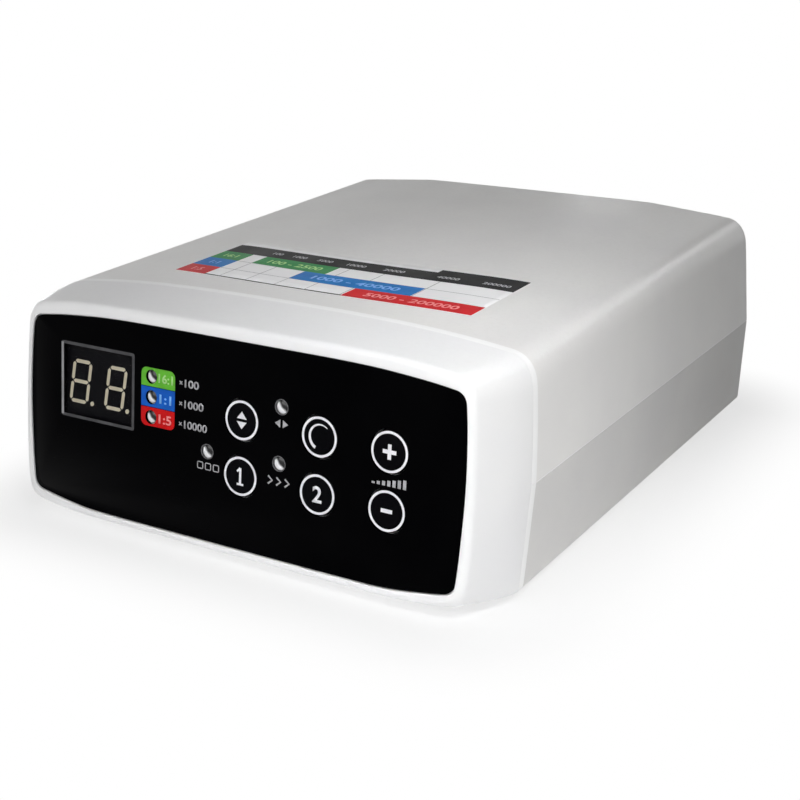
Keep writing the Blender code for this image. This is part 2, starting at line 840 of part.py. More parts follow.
def make_display_board(surface, face):
    """Board behind the keys, with the ribbon's socket on its back."""
    low = (-display_board_half_width, display_board_low, board_back)
    high = (display_board_half_width, display_board_low + display_board_height, board_front)
    board = place("display_board", lambda shape: block(shape, low, high), surface, face)

    def socket(shape):
        middle = board_back - ribbon_socket_depth / 2 + board_thickness / 4
        deep = ribbon_socket_depth + board_thickness / 2
        centred_block(shape, (0, ribbon_up, middle), (ribbon_socket_width, ribbon_socket_height, deep))

    def holes(shape):
        for u, v in display_board_corners():
            disc(shape, (u, v, 0), fixing_hole_radius + clearance, board_back - overrun,
                 board_front + overrun, small_steps)

    unite(board, "socket", socket)
    carve(board, "holes", holes)


def ribbon_route():
    """Centre line of the ribbon, from the display board to the main board."""
    gap = board_back - ribbon_socket_depth - clearance
    start = face_matrix @ Vector((0, ribbon_up, gap))
    out = (face_matrix.to_3x3() @ Vector((0, 0, -1))).normalized()
    end = Vector((0, front_y + main_board_setback - clearance,
                  main_board_top + ribbon_socket_height / 2))
    span = (end - start).length
    controls = (start, start + out * span / 2, end - Vector((0, span / 2, 0)), end)
    points = []
    for step in range(small_steps + 1):
        t = step / small_steps
        weights = ((1 - t) ** 3, 3 * t * (1 - t) ** 2, 3 * t * t * (1 - t), t ** 3)
        points.append(sum((control * weight for control, weight in zip(controls, weights)),
                          Vector((0, 0, 0))))
    return points


def make_ribbon(surface):
    """Flat cable between the two boards."""
    route = ribbon_route()
    rings = []
    for index, point in enumerate(route):
        ahead = route[min(index + 1, len(route) - 1)]
        behind = route[max(index - 1, 0)]
        along = (ahead - behind).normalized()
        up = Vector((1, 0, 0)).cross(along).normalized() * ribbon_thickness / 2
        side = Vector((ribbon_width / 2, 0, 0))
        rings.append([point - side - up, point + side - up, point + side + up, point - side + up])
    place("ribbon_cable", lambda shape: loft(shape, rings), surface, smooth=True)


def make_main_board(surface):
    """Driver board with its soldered sockets."""
    low_y = front_y + main_board_setback
    low = (main_board_left, low_y, main_board_z)
    high = (main_board_right, low_y + main_board_length, main_board_top)
    board = place("main_board", lambda shape: block(shape, low, high), surface)

    def sockets(shape):
        seat = main_board_top - board_thickness / 2
        block(shape, (-ribbon_socket_width / 2, low_y, seat),
              (ribbon_socket_width / 2, low_y + ribbon_socket_depth,
               main_board_top + ribbon_socket_height))
        landing = low_y + main_board_length - lead_landing
        for x in (jack_across, socket_across):
            block(shape, (x - lead_socket[0] / 2, landing - lead_socket[1], seat),
                  (x + lead_socket[0] / 2, landing, main_board_top + lead_socket[2]))

    def holes(shape):
        for x, y in main_board_corners():
            disc(shape, (x, y, 0), fixing_hole_radius + clearance, main_board_z - overrun,
                 main_board_top + overrun, small_steps)

    unite(board, "sockets", sockets)
    carve(board, "holes", holes)


def make_heat_sink(surface):
    """Finned block over the motor driver."""
    pitch = heat_sink_width / (heat_sink_fins - 1 + heat_sink_fin_share)
    fin = pitch * heat_sink_fin_share
    left = heat_sink_across - heat_sink_width / 2
    points = [(left, main_seat), (left + heat_sink_width, main_seat)]
    for index in reversed(range(heat_sink_fins)):
        x = left + index * pitch
        foot = main_seat + heat_sink_base
        top = main_seat + heat_sink_height
        if index < heat_sink_fins - 1:
            points.append((x + fin, foot))
        points += [(x + fin, top), (x, top)]
        if index:
            points.append((x, foot))
    y = front_y + heat_sink_setback
    half = heat_sink_length / 2
    rings = [[(x, y + side, z) for x, z in points] for side in (-half, half)]
    place("heat_sink", lambda shape: loft(shape, rings), surface)


def make_capacitor(name, surface, x):
    """Upright smoothing capacitor."""
    top = capacitor_height
    low = capacitor_height / 8
    profile = ((0, 0), (capacitor_radius, 0), (capacitor_radius, low),
               (capacitor_radius - capacitor_groove, low + capacitor_groove),
               (capacitor_radius, low + 2 * capacitor_groove), (capacitor_radius, top - capacitor_edge),
               (capacitor_radius - capacitor_edge, top), (0, top))
    place(name, lambda shape: turn(shape, profile, round_steps), surface, None,
          Matrix.Translation((x, front_y + capacitor_setback, main_seat)), smooth=True)


def make_screw(name, surface, parent, matrix, length):
    """Cross-head screw: its head's seat is at the origin and its shank runs along -Z."""
    edge = screw_head_radius - screw_dome
    profile = ((0, -length), (screw_radius, -length), (screw_radius, 0), (screw_head_radius, 0),
               (screw_head_radius, screw_head_height - screw_dome), (edge, screw_head_height),
               (0, screw_head_height))
    screw = place(name, lambda shape: turn(shape, profile, small_steps), surface, parent, matrix,
                  smooth=True)

    def cross(shape):
        low = screw_head_height - cross_depth
        high = screw_head_height + cross_depth
        arm = cross_length / 2
        half = cross_width / 2
        points = []
        for quarter in range(4):
            turned = Matrix.Rotation(quarter * math.pi / 2, 2)
            points += [turned @ Vector(point) for point in ((half, half), (half, arm), (-half, arm))]
        loft(shape, [[(x, y, z) for x, y in points] for z in (low, high)])

    carve(screw, "cross", cross, matrix)


def make_foot(name, surface, x, y):
    """Push-in rubber foot."""
    barb_low = inner_floor_z + clearance
    profile = ((0, 0), (foot_radius - foot_edge, 0), (foot_radius, foot_edge), (foot_radius, foot_height),
               (foot_stem_radius, foot_height), (foot_stem_radius, barb_low),
               (foot_stem_radius + foot_barb, barb_low), (foot_stem_radius, barb_low + foot_barb_height),
               (0, barb_low + foot_barb_height))
    place(name, lambda shape: turn(shape, profile, round_steps), surface, None,
          Matrix.Translation((x, y, 0)), smooth=True)


def chart_slab(shape, grow, low, high):
    """A slab that follows the roof under the speed chart, its long edges bowed forward."""
    middle = seam_y(floor_z + seam_height) + chart_setback
    half_width = chart_width / 2
    reach = half_width + grow
    rings = []
    for column in range(chart_columns + 1):
        across = reach * (2 * column / chart_columns - 1)
        x = chart_shift + across
        edge = middle + chart_bow * (across / half_width) ** 2
        near = edge - grow
        far = edge + chart_depth + grow
        rings.append([(x, near, roof_z(x, near) + low), (x, far, roof_z(x, far) + low),
                      (x, far, roof_z(x, far) + high), (x, near, roof_z(x, near) + high)])
    loft(shape, rings)


def make_rear_panel(surface):
    """Rear plate held in the shells' grooves, with holes for its fittings and vents."""
    panel = place("rear_panel", lambda shape: loft(shape, rear_groove(rear_panel_bite, 0)), surface)

    def holes(shape):
        near = rear_inner_y - overrun
        far = rear_outer_y + overrun
        half_wide = rocker_half_width + clearance + switch_wall + clearance
        half_tall = rocker_half_height + rocker_play + clearance + switch_wall + clearance
        middle = floor_z + rocker_up
        block(shape, (rocker_across - half_wide, near, middle - half_tall),
              (rocker_across + half_wide, far, middle + half_tall))
        for index in range(vent_count):
            x = (index - (vent_count - 1) / 2) * vent_pitch
            block(shape, (x - vent_width / 2, near, floor_z + vent_up - vent_height / 2),
                  (x + vent_width / 2, far, floor_z + vent_up + vent_height / 2))

    def round_holes(shape):
        depth = rear_panel_thickness + overrun
        for x, up, radius in ((jack_across, jack_up, jack_radius),
                              (socket_across, socket_up, socket_body_radius),
                              (inlet_across, fitting_up, fitting_thread_radius),
                              (outlet_across, fitting_up, fitting_thread_radius)):
            disc(shape, (x, -floor_z - up, 0), radius + clearance, -depth, overrun)

    carve(panel, "holes", holes)
    carve(panel, "round_holes", round_holes, Matrix.Translation((0, rear_outer_y, 0)) @ to_rear)


def rear_place(x, up):
    """Matrix whose +Z points out of the rear panel's outer face at a place on it."""
    return Matrix.Translation((x, rear_outer_y, floor_z + up)) @ to_rear


def make_switch_frame(surface):
    """Housing of the rocker switch, with its pivot holes and two terminals."""
    inner_wide = rocker_half_width + clearance
    inner_tall = rocker_half_height + rocker_play + clearance
    outer_wide = inner_wide + switch_wall
    outer_tall = inner_tall + switch_wall
    flange_high = clearance + switch_flange_thickness
    matrix = rear_place(rocker_across, rocker_up)
    frame = place("switch_frame",
                  lambda shape: block(shape, (-outer_wide, -outer_tall, -switch_body_depth),
                                      (outer_wide, outer_tall, flange_high)), surface, None, matrix)

    def flange(shape):
        wide = outer_wide + switch_flange_edge
        tall = outer_tall + switch_flange_edge
        block(shape, (-wide, -tall, clearance), (wide, tall, flange_high - clearance))

    def blades(shape):
        for side in (-1, 1):
            y = side * switch_blade_up
            wide, long, thick = switch_blade
            block(shape, (-wide / 2, y - thick / 2, -switch_body_depth - long),
                  (wide / 2, y + thick / 2, -switch_body_depth + overrun))

    def cavity(shape):
        block(shape, (-inner_wide, -inner_tall, flange_high - switch_cavity_depth),
              (inner_wide, inner_tall, flange_high + overrun))

    def pivot(shape):
        reach = rocker_half_width + trunnion_length + clearance
        disc(shape, (0, 0, 0), trunnion_radius + clearance, -reach, reach, small_steps)

    unite(frame, "flange", flange, matrix)
    unite(frame, "blades", blades, matrix)
    carve(frame, "cavity", cavity, matrix)
    height = Matrix.Translation((0, 0, flange_high - rocker_pivot_depth))
    carve(frame, "pivot", pivot, matrix @ height @ Matrix.Rotation(math.pi / 2, 4, "Y"))


def make_rocker(surface):
    """Rocker with its pivot pin; it rests with the lower end pressed in."""
    pivot_y = rear_outer_y + clearance + switch_flange_thickness - rocker_pivot_depth
    matrix = (Matrix.Translation((rocker_across, pivot_y, floor_z + rocker_up))
              @ Matrix.Rotation(-rocker_swing, 4, "X"))
    points = ((-rocker_half_height, rocker_crown), (0, rocker_crown - rocker_dish),
              (rocker_half_height, rocker_crown), (rocker_half_height, rocker_cheek),
              (rocker_keel_half, -rocker_keel), (-rocker_keel_half, -rocker_keel),
              (-rocker_half_height, rocker_cheek))
    rings = [[(x, y, z) for z, y in points] for x in (-rocker_half_width, rocker_half_width)]
    rocker = place("switch_rocker", lambda shape: loft(shape, rings), surface, None, matrix)
    reach = rocker_half_width + trunnion_length
    unite(rocker, "pivot",
          lambda shape: disc(shape, (0, 0, 0), trunnion_radius, -reach, reach, small_steps),
          matrix @ Matrix.Rotation(math.pi / 2, 4, "Y"))


def make_power_jack(surface):
    """Round low-voltage jack with a centre pin."""
    front = clearance + jack_flange_thickness
    floor = front - jack_cavity_depth
    tip = front - jack_pin_sink
    profile = ((0, tip), (jack_pin_radius, tip), (jack_pin_radius, floor), (jack_cavity_radius, floor),
               (jack_cavity_radius, front), (jack_flange_radius - jack_edge, front),
               (jack_flange_radius, front - jack_edge), (jack_flange_radius, clearance),
               (jack_radius, clearance), (jack_radius, -rear_panel_thickness - jack_body_depth),
               (0, -rear_panel_thickness - jack_body_depth))
    place("power_jack", lambda shape: turn(shape, profile, round_steps), surface, None,
          rear_place(jack_across, jack_up), smooth=True)


def make_motor_socket(surface, nut_surface):
    """Round socket for the motor's plug, and the nut that clamps it."""
    flange = clearance + socket_flange_thickness
    front = flange + socket_sleeve_length
    back = -rear_panel_thickness - socket_body_depth
    profile = ((0, front - socket_cavity_depth), (socket_cavity_radius, front - socket_cavity_depth),
               (socket_cavity_radius, front), (socket_sleeve_radius - socket_edge, front),
               (socket_sleeve_radius, front - socket_edge), (socket_sleeve_radius, flange),
               (socket_flange_radius, flange), (socket_flange_radius, clearance),
               (socket_body_radius, clearance), (socket_body_radius, back), (0, back))
    matrix = rear_place(socket_across, socket_up)
    place("motor_socket", lambda shape: turn(shape, profile, round_steps), surface, None, matrix,
          smooth=True)

    def nut(shape):
        high = -rear_panel_thickness - clearance
        low = high - nut_thickness
        disc(shape, (0, 0, 0), nut_radius, low, high, 6)

    ring = place("motor_socket_nut", nut, nut_surface, None, matrix)
    carve(ring, "bore", lambda shape: disc(shape, (0, 0, 0), socket_body_radius + clearance,
                                           -rear_panel_thickness - 2 * nut_thickness, overrun), matrix)


def barbed(radius, start, end):
    """Two-barb hose tail between two heights, as (radius, height) pairs."""
    direction = 1 if end > start else -1
    ridge = radius + fitting_barb
    points = [(radius, start)]
    for index in (2, 1):
        low = end - direction * index * fitting_barb_length
        points += [(radius, low), (ridge, low), (radius, low + direction * fitting_barb_length)]
    return points


def make_fitting(name, surface, x):
    """Hose fitting through the rear panel, barbed at both ends and bored through."""
    tip = rear_reach + rear_panel_inset
    tail = -rear_panel_thickness - fitting_inner_reach
    flange = clearance + fitting_flange_thickness
    thread_end = -rear_panel_thickness - fitting_flange_thickness
    outside = barbed(fitting_stem_radius, flange, tip)
    inside = barbed(fitting_stem_radius, thread_end, tail)
    profile = ([(fitting_bore_radius, tip)] + outside[::-1]
               + [(fitting_flange_radius, flange), (fitting_flange_radius, clearance),
                  (fitting_thread_radius, clearance), (fitting_thread_radius, thread_end)]
               + inside + [(fitting_bore_radius, tail)])
    place(name, lambda shape: turn(shape, profile, small_steps, closed=True), surface, None,
          rear_place(x, fitting_up), smooth=True)


def manifold_y():
    """Middle of the air manifold, front to back."""
    return front_y + manifold_setback


def make_air_manifold(surface):
    """Block that splits the drive air between the sensor and the valve."""
    y = manifold_y()
    low = inner_floor_z + clearance
    port_z = low + manifold_port_up
    centre = (manifold_across, y, low + manifold_height / 2)
    size = (manifold_width, manifold_length, manifold_height)
    manifold = place("air_manifold", lambda shape: centred_block(shape, centre, size), surface)

    def rear_ports(shape):
        for x in (manifold_across, manifold_across - 2 * manifold_port_spread):
            disc(shape, (x, -port_z, 0), fitting_stem_radius, -overrun, manifold_port_length,
                 small_steps)

    def side_port(shape):
        disc(shape, (0, 0, 0), fitting_stem_radius, -overrun, manifold_port_length, small_steps)

    unite(manifold, "rear_ports", rear_ports,
          Matrix.Translation((0, y + manifold_length / 2, 0)) @ to_rear)
    unite(manifold, "side_port", side_port,
          Matrix.Translation((manifold_across - manifold_width / 2, y - sensor_port_setback, port_z))
          @ Matrix.Rotation(-math.pi / 2, 4, "Y"))


def make_air_valve(surface):
    """Solenoid valve for the motor's cooling air, on top of the manifold."""
    profile = ((0, 0), (valve_radius, 0), (valve_radius, valve_height),
               (valve_cap_radius, valve_height), (valve_cap_radius, valve_height + valve_cap_height),
               (0, valve_height + valve_cap_height))
    place("air_valve", lambda shape: turn(shape, profile, round_steps), surface, None,
          Matrix.Translation((manifold_across, manifold_y(),
                              inner_floor_z + 2 * clearance + manifold_height)), smooth=True)


def make_air_sensor(surface):
    """Pressure sensor that tells the driver when the foot control opens the air."""
    centre = (sensor_across, front_y + sensor_setback, main_seat + sensor_height / 2)
    sensor = place("air_sensor",
                   lambda shape: centred_block(shape, centre, (sensor_side, sensor_side, sensor_height)),
                   surface)
    port = (centre[0], centre[1], main_seat)
    unite(sensor, "port", lambda shape: disc(shape, port, fitting_stem_radius, overrun,
                                             sensor_height + sensor_port_height, small_steps))


def make_tube(name, surface, controls, radius):
    """Round tube along one smooth curve through four control points."""
    start, lead_out, lead_in, end = (Vector(point) for point in controls)
    line = bpy.data.curves.new(name, "CURVE")
    line.dimensions = "3D"
    line.bevel_depth = radius
    line.bevel_resolution = 2
    line.use_fill_caps = True
    line.resolution_u = 1
    spline = line.splines.new("POLY")
    spline.points.add(small_steps)
    for step in range(small_steps + 1):
        t = step / small_steps
        point = (start * (1 - t) ** 3 + lead_out * 3 * t * (1 - t) ** 2
                 + lead_in * 3 * t * t * (1 - t) + end * t ** 3)
        spline.points[step].co = (*point, 1)
    line.materials.append(surface)
    tube = bpy.data.objects.new(name, line)
    bpy.context.scene.collection.objects.link(tube)


def make_tubes(tube_surface, lead_surface):
    """Air tubes and the leads between the rear panel and the main board."""
    fitting_end = rear_inner_y - fitting_inner_reach - clearance
    fitting_z = floor_z + fitting_up
    port_y = manifold_y() + manifold_length / 2 + manifold_port_length + clearance
    port_z = inner_floor_z + clearance + manifold_port_up
    ease = Vector((0, (fitting_end - port_y) / 3, 0))
    outlet_port = manifold_across - 2 * manifold_port_spread
    for name, x, port_x in (("air_tube_inlet", inlet_across, manifold_across),
                            ("air_tube_outlet", outlet_across, outlet_port)):
        start = Vector((x, fitting_end, fitting_z))
        end = Vector((port_x, port_y, port_z))
        make_tube(name, tube_surface, (start, start - ease, end + ease, end), air_tube_radius)
    start = Vector((manifold_across - manifold_width / 2 - manifold_port_length - clearance,
                    manifold_y() - sensor_port_setback, port_z))
    end = Vector((sensor_across, front_y + sensor_setback,
                  main_seat + sensor_height + sensor_port_height + clearance))
    over = Vector((0, 0, tube_overfly))
    out = Vector((tube_overfly, 0, 0))
    make_tube("air_tube_sensor", tube_surface, (start, start - out, end + over, end), air_tube_radius)
    landing_y = front_y + main_board_setback + main_board_length - lead_landing + clearance
    landing_z = main_board_top + lead_socket[2] / 2
    pairs = (("motor_lead", socket_across, rear_inner_y - socket_body_depth - clearance,
              floor_z + socket_up, socket_across, motor_lead_radius),
             ("power_lead", jack_across, rear_inner_y - jack_body_depth - clearance,
              floor_z + jack_up, jack_across, lead_radius))
    for name, x, y, z, end_x, radius in pairs:
        start = Vector((x, y, z))
        end = Vector((end_x, landing_y, landing_z))
        ease = Vector((0, (y - landing_y) / 2, 0))
        make_tube(name, lead_surface, (start, start - ease, end + ease, end), radius)


def build_all():
    """Make every piece of the unit."""
    clear_scene()
    shell = finish("shell_white", (0.80, 0.80, 0.79), 0.38)
    bezel_white = finish("bezel_white", (0.90, 0.90, 0.90), 0.22)
    gloss_black = finish("gloss_black", (0.008, 0.008, 0.009), 0.07)
    window_clear = finish("window_clear", (0.10, 0.10, 0.11), 0.05)
    module_black = finish("module_black", (0.03, 0.03, 0.035), 0.4)
    lamp_clear = finish("lamp_clear", (0.80, 0.81, 0.82), 0.12)
    switch_black = finish("switch_black", (0.03, 0.03, 0.03), 0.45)
    board_green = finish("board_green", (0.02, 0.16, 0.07), 0.5)
    ribbon_grey = finish("ribbon_grey", (0.45, 0.46, 0.48), 0.5)
    aluminium = finish("aluminium", (0.62, 0.63, 0.65), 0.35, 1.0)
    sleeve_blue = finish("capacitor_sleeve", (0.03, 0.06, 0.22), 0.4)
    zinc = finish("zinc_screw", (0.66, 0.66, 0.68), 0.3, 1.0)
    rubber = finish("foot_rubber", (0.03, 0.03, 0.03), 0.8)
    plate_grey = finish("rear_plate", (0.62, 0.62, 0.61), 0.45)
    nickel = finish("nickel", (0.70, 0.68, 0.64), 0.25, 1.0)
    manifold_grey = finish("manifold_grey", (0.35, 0.36, 0.38), 0.5)
    tube_blue = finish("air_tube", (0.20, 0.42, 0.70), 0.3)
    lead_black = finish("lead_black", (0.02, 0.02, 0.02), 0.5)
    chart_white = finish("chart_film", (0.82, 0.82, 0.82), 0.35)

    face = frame_empty("face_frame", face_matrix)
    make_top_cover(shell)
    make_bottom_case(shell)
    make_front_bezel(bezel_white, face)
    make_front_panel(gloss_black, face)
    make_display(window_clear, module_black, face)
    for number, v in enumerate(ratio_lamp_rows, 1):
        make_lamp(f"ratio_lamp_{number}", lamp_clear, face, ratio_lamp_across, v, ratio_lamp_radius)
    for number, (u, v) in enumerate(status_lamp_places, 1):
        make_lamp(f"status_lamp_{number}", lamp_clear, face, u, v, status_lamp_radius)
    names = (("key_ratio", "key_memory_1"), ("key_direction", "key_memory_2"), ("key_plus", "key_minus"))
    for u, column in zip(key_columns, names):
        for v, name in zip(key_rows, column):
            make_key(name, gloss_black, face, u, v)
            make_key_switch(name.replace("key", "switch"), switch_black, face, u, v)
    make_display_board(board_green, face)
    make_ribbon(ribbon_grey)
    make_main_board(board_green)
    make_heat_sink(aluminium)
    for number, x in enumerate(capacitor_across, 1):
        make_capacitor(f"capacitor_{number}", sleeve_blue, x)
    make_rear_panel(plate_grey)
    make_switch_frame(switch_black)
    make_rocker(switch_black)
    make_power_jack(switch_black)
    make_motor_socket(switch_black, nickel)
    make_fitting("air_inlet_fitting", nickel, inlet_across)
    make_fitting("air_outlet_fitting", nickel, outlet_across)
    make_air_manifold(manifold_grey)
    make_air_valve(switch_black)
    make_air_sensor(switch_black)
    make_tubes(tube_blue, lead_black)
    place("speed_chart", lambda shape: chart_slab(shape, 0, -chart_thickness, 0), chart_white)
    for number, (x, y) in enumerate(foot_places(), 1):
        make_foot(f"foot_{number}", rubber, x, y)
    over = Matrix.Rotation(math.pi, 4, "X")
    for number, (x, y) in enumerate(case_screw_places(), 1):
        head_z = belt_z - case_screw_grip - clearance
        make_screw(f"case_screw_{number}", zinc, None, Matrix.Translation((x, y, head_z)) @ over,
                   case_screw_length)
    for number, (x, y) in enumerate(main_board_corners()[:2], 1):
        make_screw(f"main_board_screw_{number}", zinc, None,
                   Matrix.Translation((x, y, main_board_top + clearance)), board_screw_length)
    for number, (u, v) in enumerate(display_board_corners()[:2], 1):
        make_screw(f"display_board_screw_{number}", zinc, face,
                   Matrix.Translation((u, v, board_back - clearance)) @ over, board_screw_length)


build_all()
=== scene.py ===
"""Dressed model of the control unit of a dental micromotor.

Two moulded shells and a glossy bezel hold a sloping black key panel; a printed speed chart lies on the
roof, and the rear plate carries the switch, the power jack, the motor socket and two hose fittings.
Metres, +X right seen from the front, +Y to the back, +Z up, on the plane of the rubber feet.
"""
import math

import bmesh
import bpy
from mathutils import Matrix, Vector
from mathutils.geometry import tessellate_polygon


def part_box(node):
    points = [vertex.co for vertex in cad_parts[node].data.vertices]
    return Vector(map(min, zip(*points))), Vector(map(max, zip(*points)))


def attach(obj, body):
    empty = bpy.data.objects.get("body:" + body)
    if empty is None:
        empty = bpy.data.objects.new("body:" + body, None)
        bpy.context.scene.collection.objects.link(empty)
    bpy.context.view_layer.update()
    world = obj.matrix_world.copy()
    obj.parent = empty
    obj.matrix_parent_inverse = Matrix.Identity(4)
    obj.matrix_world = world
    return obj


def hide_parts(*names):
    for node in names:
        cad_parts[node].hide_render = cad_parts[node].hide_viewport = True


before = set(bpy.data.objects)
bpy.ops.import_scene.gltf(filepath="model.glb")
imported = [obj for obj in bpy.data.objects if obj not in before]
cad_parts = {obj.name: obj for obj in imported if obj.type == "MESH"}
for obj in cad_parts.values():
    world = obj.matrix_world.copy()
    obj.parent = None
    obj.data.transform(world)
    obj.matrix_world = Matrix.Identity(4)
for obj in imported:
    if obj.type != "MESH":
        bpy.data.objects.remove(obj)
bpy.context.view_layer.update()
MM = 0.001

# Case shells
case_half_width = 89.3 * MM
case_height = 73.3 * MM
seam_height = 71.9 * MM
case_length = 207.5 * MM
rear_reach = 12.0 * MM
wall = 2.4 * MM
clearance = 0.3 * MM
belt_share = 0.4366
edge_round = 0.4 * MM
groove_depth = 0.25 * MM
tongue_thickness = 1.5 * MM
shell_rows = 14
front_steps = 7
front_round = 0.55 * MM
front_reach = 2.4 * MM
tongue_half = 0.14 * MM
belt_groove_depth = 0.08 * MM

# Feet and case screws
foot_count = 4
foot_height = 2.5 * MM
foot_stem_radius = 2.6 * MM
case_screw_across = 70.0 * MM
case_screw_front = 32.0 * MM
case_screw_rear = 34.0 * MM
case_screw_grip = 10.0 * MM
case_boss_radius = 4.4 * MM
screw_recess_radius = 2.9 * MM
screw_hole_radius = 1.5 * MM

# Front bezel and the sloping face
face_tilt = math.radians(7.5)
bezel_depth = 22.0 * MM
bezel_wall = 2.4 * MM
bezel_swell = 1.6
bezel_lip_length = 4.0 * MM
bezel_lip_thickness = 1.6 * MM
rim_half_width = 82.2 * MM
rim_height = 70.0 * MM
rim_drop = 2.8 * MM
rim_lift = 0.3 * MM
rim_round = 1.6 * MM
front_wall = 2.0 * MM
opening_round = 0.3 * MM
ledge = 2.0 * MM
bezel_edge = 0.25 * MM
opening_steps = 4
rim_steps = 6
side_rows = 24

# Glossy panel, display window and display
panel_half_width = 79.9 * MM
panel_height = 63.2 * MM
panel_thickness = 1.0 * MM
panel_sink = 0.3 * MM
panel_edge = 0.12 * MM
display_place = (-51.8 * MM, 41.5 * MM)
display_size = (28.2 * MM, 22.4 * MM)
display_border = 0.6 * MM
display_line = 1.0 * MM
window_thickness = 1.2 * MM
digit_height = 14.2 * MM
digit_width = 7.9 * MM
digit_stroke = 1.15 * MM
digit_slant = math.radians(8.0)
digit_places = (-60.1 * MM, -45.6 * MM)
digit_foot = 33.9 * MM
digit_point = 0.75 * MM
segment_gap = 0.3 * MM
digit_point_reach = 2.3 * MM
window_alpha = 0.12
digit_point_steps = 24

# Keys, their signs and their lamps
key_columns = (4.6 * MM, 32.15 * MM, 55.6 * MM)
key_rows = (40.0 * MM, 22.9 * MM)
key_radius = 6.35 * MM
key_edge = 0.25 * MM
key_flange = 1.05 * MM
key_flange_thickness = 1.0 * MM
key_stem_radius = 1.9 * MM
key_stem_length = 0.5 * MM
key_ring_outer = 5.97 * MM
key_ring_inner = 5.25 * MM
sign_stroke = 0.8 * MM
sign_height = 5.0 * MM
ratio_lamp_radius = 1.9 * MM
ratio_lamp_ring = 2.2 * MM
lamp_hole_steps = 48
ratio_lamp_places = ((-29.9 * MM, 47.6 * MM), (-29.9 * MM, 41.2 * MM), (-30.0 * MM, 34.9 * MM))
status_lamp_radius = 2.1 * MM
status_lamp_places = ((18.7 * MM, 46.4 * MM), (18.4 * MM, 29.4 * MM), (-8.0 * MM, 28.1 * MM))
lamp_sink = 0.3 * MM
lamp_base = 0.5 * MM
seat_play = 0.03 * MM
dome_steps = 14
dome_share = 0.2
# Painted highlight in each lens: a bright crescent at the lower left that stands in for light caught in the
# lamp's well, as shares of the lens radius
highlight_crescent_shift = (0.34, 0.30)
highlight_crescent_inner = (0.28, 0.72)
highlight_crescent_outer = (0.88, 0.98)
highlight_crescent_side = (-0.25, 0.2)
painted_highlight_grain = 0.6 * MM

# Strokes of the signs
bold_stroke = 1.15 * MM
bold_reach = 2.2 * MM
minus_reach = 1.85 * MM
one_flag = 1.15 * MM
one_foot = 1.2 * MM
one_thin_stroke = 0.8 * sign_stroke
arc_shift = (0.35 * MM, 0.0)
arc_radius = 3.65 * MM
arc_start = math.radians(244)
arc_end = math.radians(52)
arc_stroke = 0.9 * MM
arc_thinning = 0.78
arc_thinning_power = 1.6
arrow_half = 1.8 * MM
arrow_gap = 0.45 * MM
arrow_tall = 2.2 * MM

# Printed block of the three ratios, and the multipliers beside it
block_left = -33.9 * MM
block_right = -20.7 * MM
block_top = 50.5 * MM
block_bottom = 32.0 * MM
block_steps_up = (44.5 * MM, 38.1 * MM)
block_corner = 2.0 * MM
block_line = 0.2 * MM
ink_lift = 0.03 * MM
ratios = ("16:1", "1:1", "1:5")
ratio_height = 2.9 * MM
ratio_widths = (5.6 * MM, 4.6 * MM, 5.0 * MM)
multipliers = ("100", "1000", "10000")
multiplier_left = -18.9 * MM
multiplier_widths = (7.3 * MM, 9.2 * MM, 10.7 * MM)
multiplier_height = 2.5 * MM
cross_room = 1.9 * MM
cross_arm = 0.5 * MM
fine_stroke = 0.3 * MM

# Small marks by the lamps and keys
direction_mark = (18.9 * MM, 41.5 * MM)
running_mark = (18.5 * MM, 24.0 * MM)
memory_mark = (-7.5 * MM, 23.5 * MM)
speed_mark = (55.9 * MM, 31.5 * MM)
mark_gap = 0.45 * MM
mark_tall = 2.4 * MM
mark_long = 0.8 * mark_tall
chevron_half = 0.75 * MM
chevron_pitch = 3.0 * MM
chevron_stroke = 0.55 * MM
cell_size = 2.0 * MM
cell_pitch = 3.0 * MM
speed_bars = 7
speed_pitch = 1.7 * MM
speed_bar = 1.0 * MM
speed_tall = 2.7 * MM
speed_start = 0.6

# Speed chart on the roof
chart_width = 113.2 * MM
chart_depth = 37.0 * MM
chart_bow = 4.0 * MM
chart_shift = 0.6 * MM
chart_setback = 13.9 * MM
chart_lift = 0.08 * MM
chart_ink_lift = 0.11 * MM
chart_words_lift = 0.14 * MM
chart_step = 3.0 * MM
film_columns = 56
film_rows = 8
film_thickness = 0.25 * MM
chart_line_lift = 0.10 * MM
chart_trim = 2.2 * MM
chart_left = chart_shift - chart_width / 2 + chart_trim
chart_right = chart_shift + chart_width / 2
film_rear = -0.08
header_back = (0.02, 0.27)
header_tall_back = -0.065
header_step = 27 * MM
row_back = (0.27, 0.51, 0.76, 1.0)
label_right = -40.6 * MM
bar_spans = ((-34.4 * MM, -4 * MM), (-11.8 * MM, 32.7 * MM), (13.7 * MM, 57.2 * MM))
column_lines = (-34.4 * MM, -23.5 * MM, -11.8 * MM, 0, 13 * MM, 33 * MM)
line_half = 0.14 * MM
line_back = 0.004
front_line_back = 6 * line_back
scale_places = (-33 * MM, -23.5 * MM, -13 * MM, -0.5 * MM, 13.8 * MM, 33.2 * MM, 49.7 * MM)
scale_numbers = ("100", "1000", "5000", "10000", "20000", "40000", "200000")
scale_height = 2.3 * MM
bar_numbers = ("100 - 2500", "1000 - 40000", "5000 - 200000")
bar_number_height = 3.6 * MM
bar_number_share = 0.72
label_height = 3.2 * MM

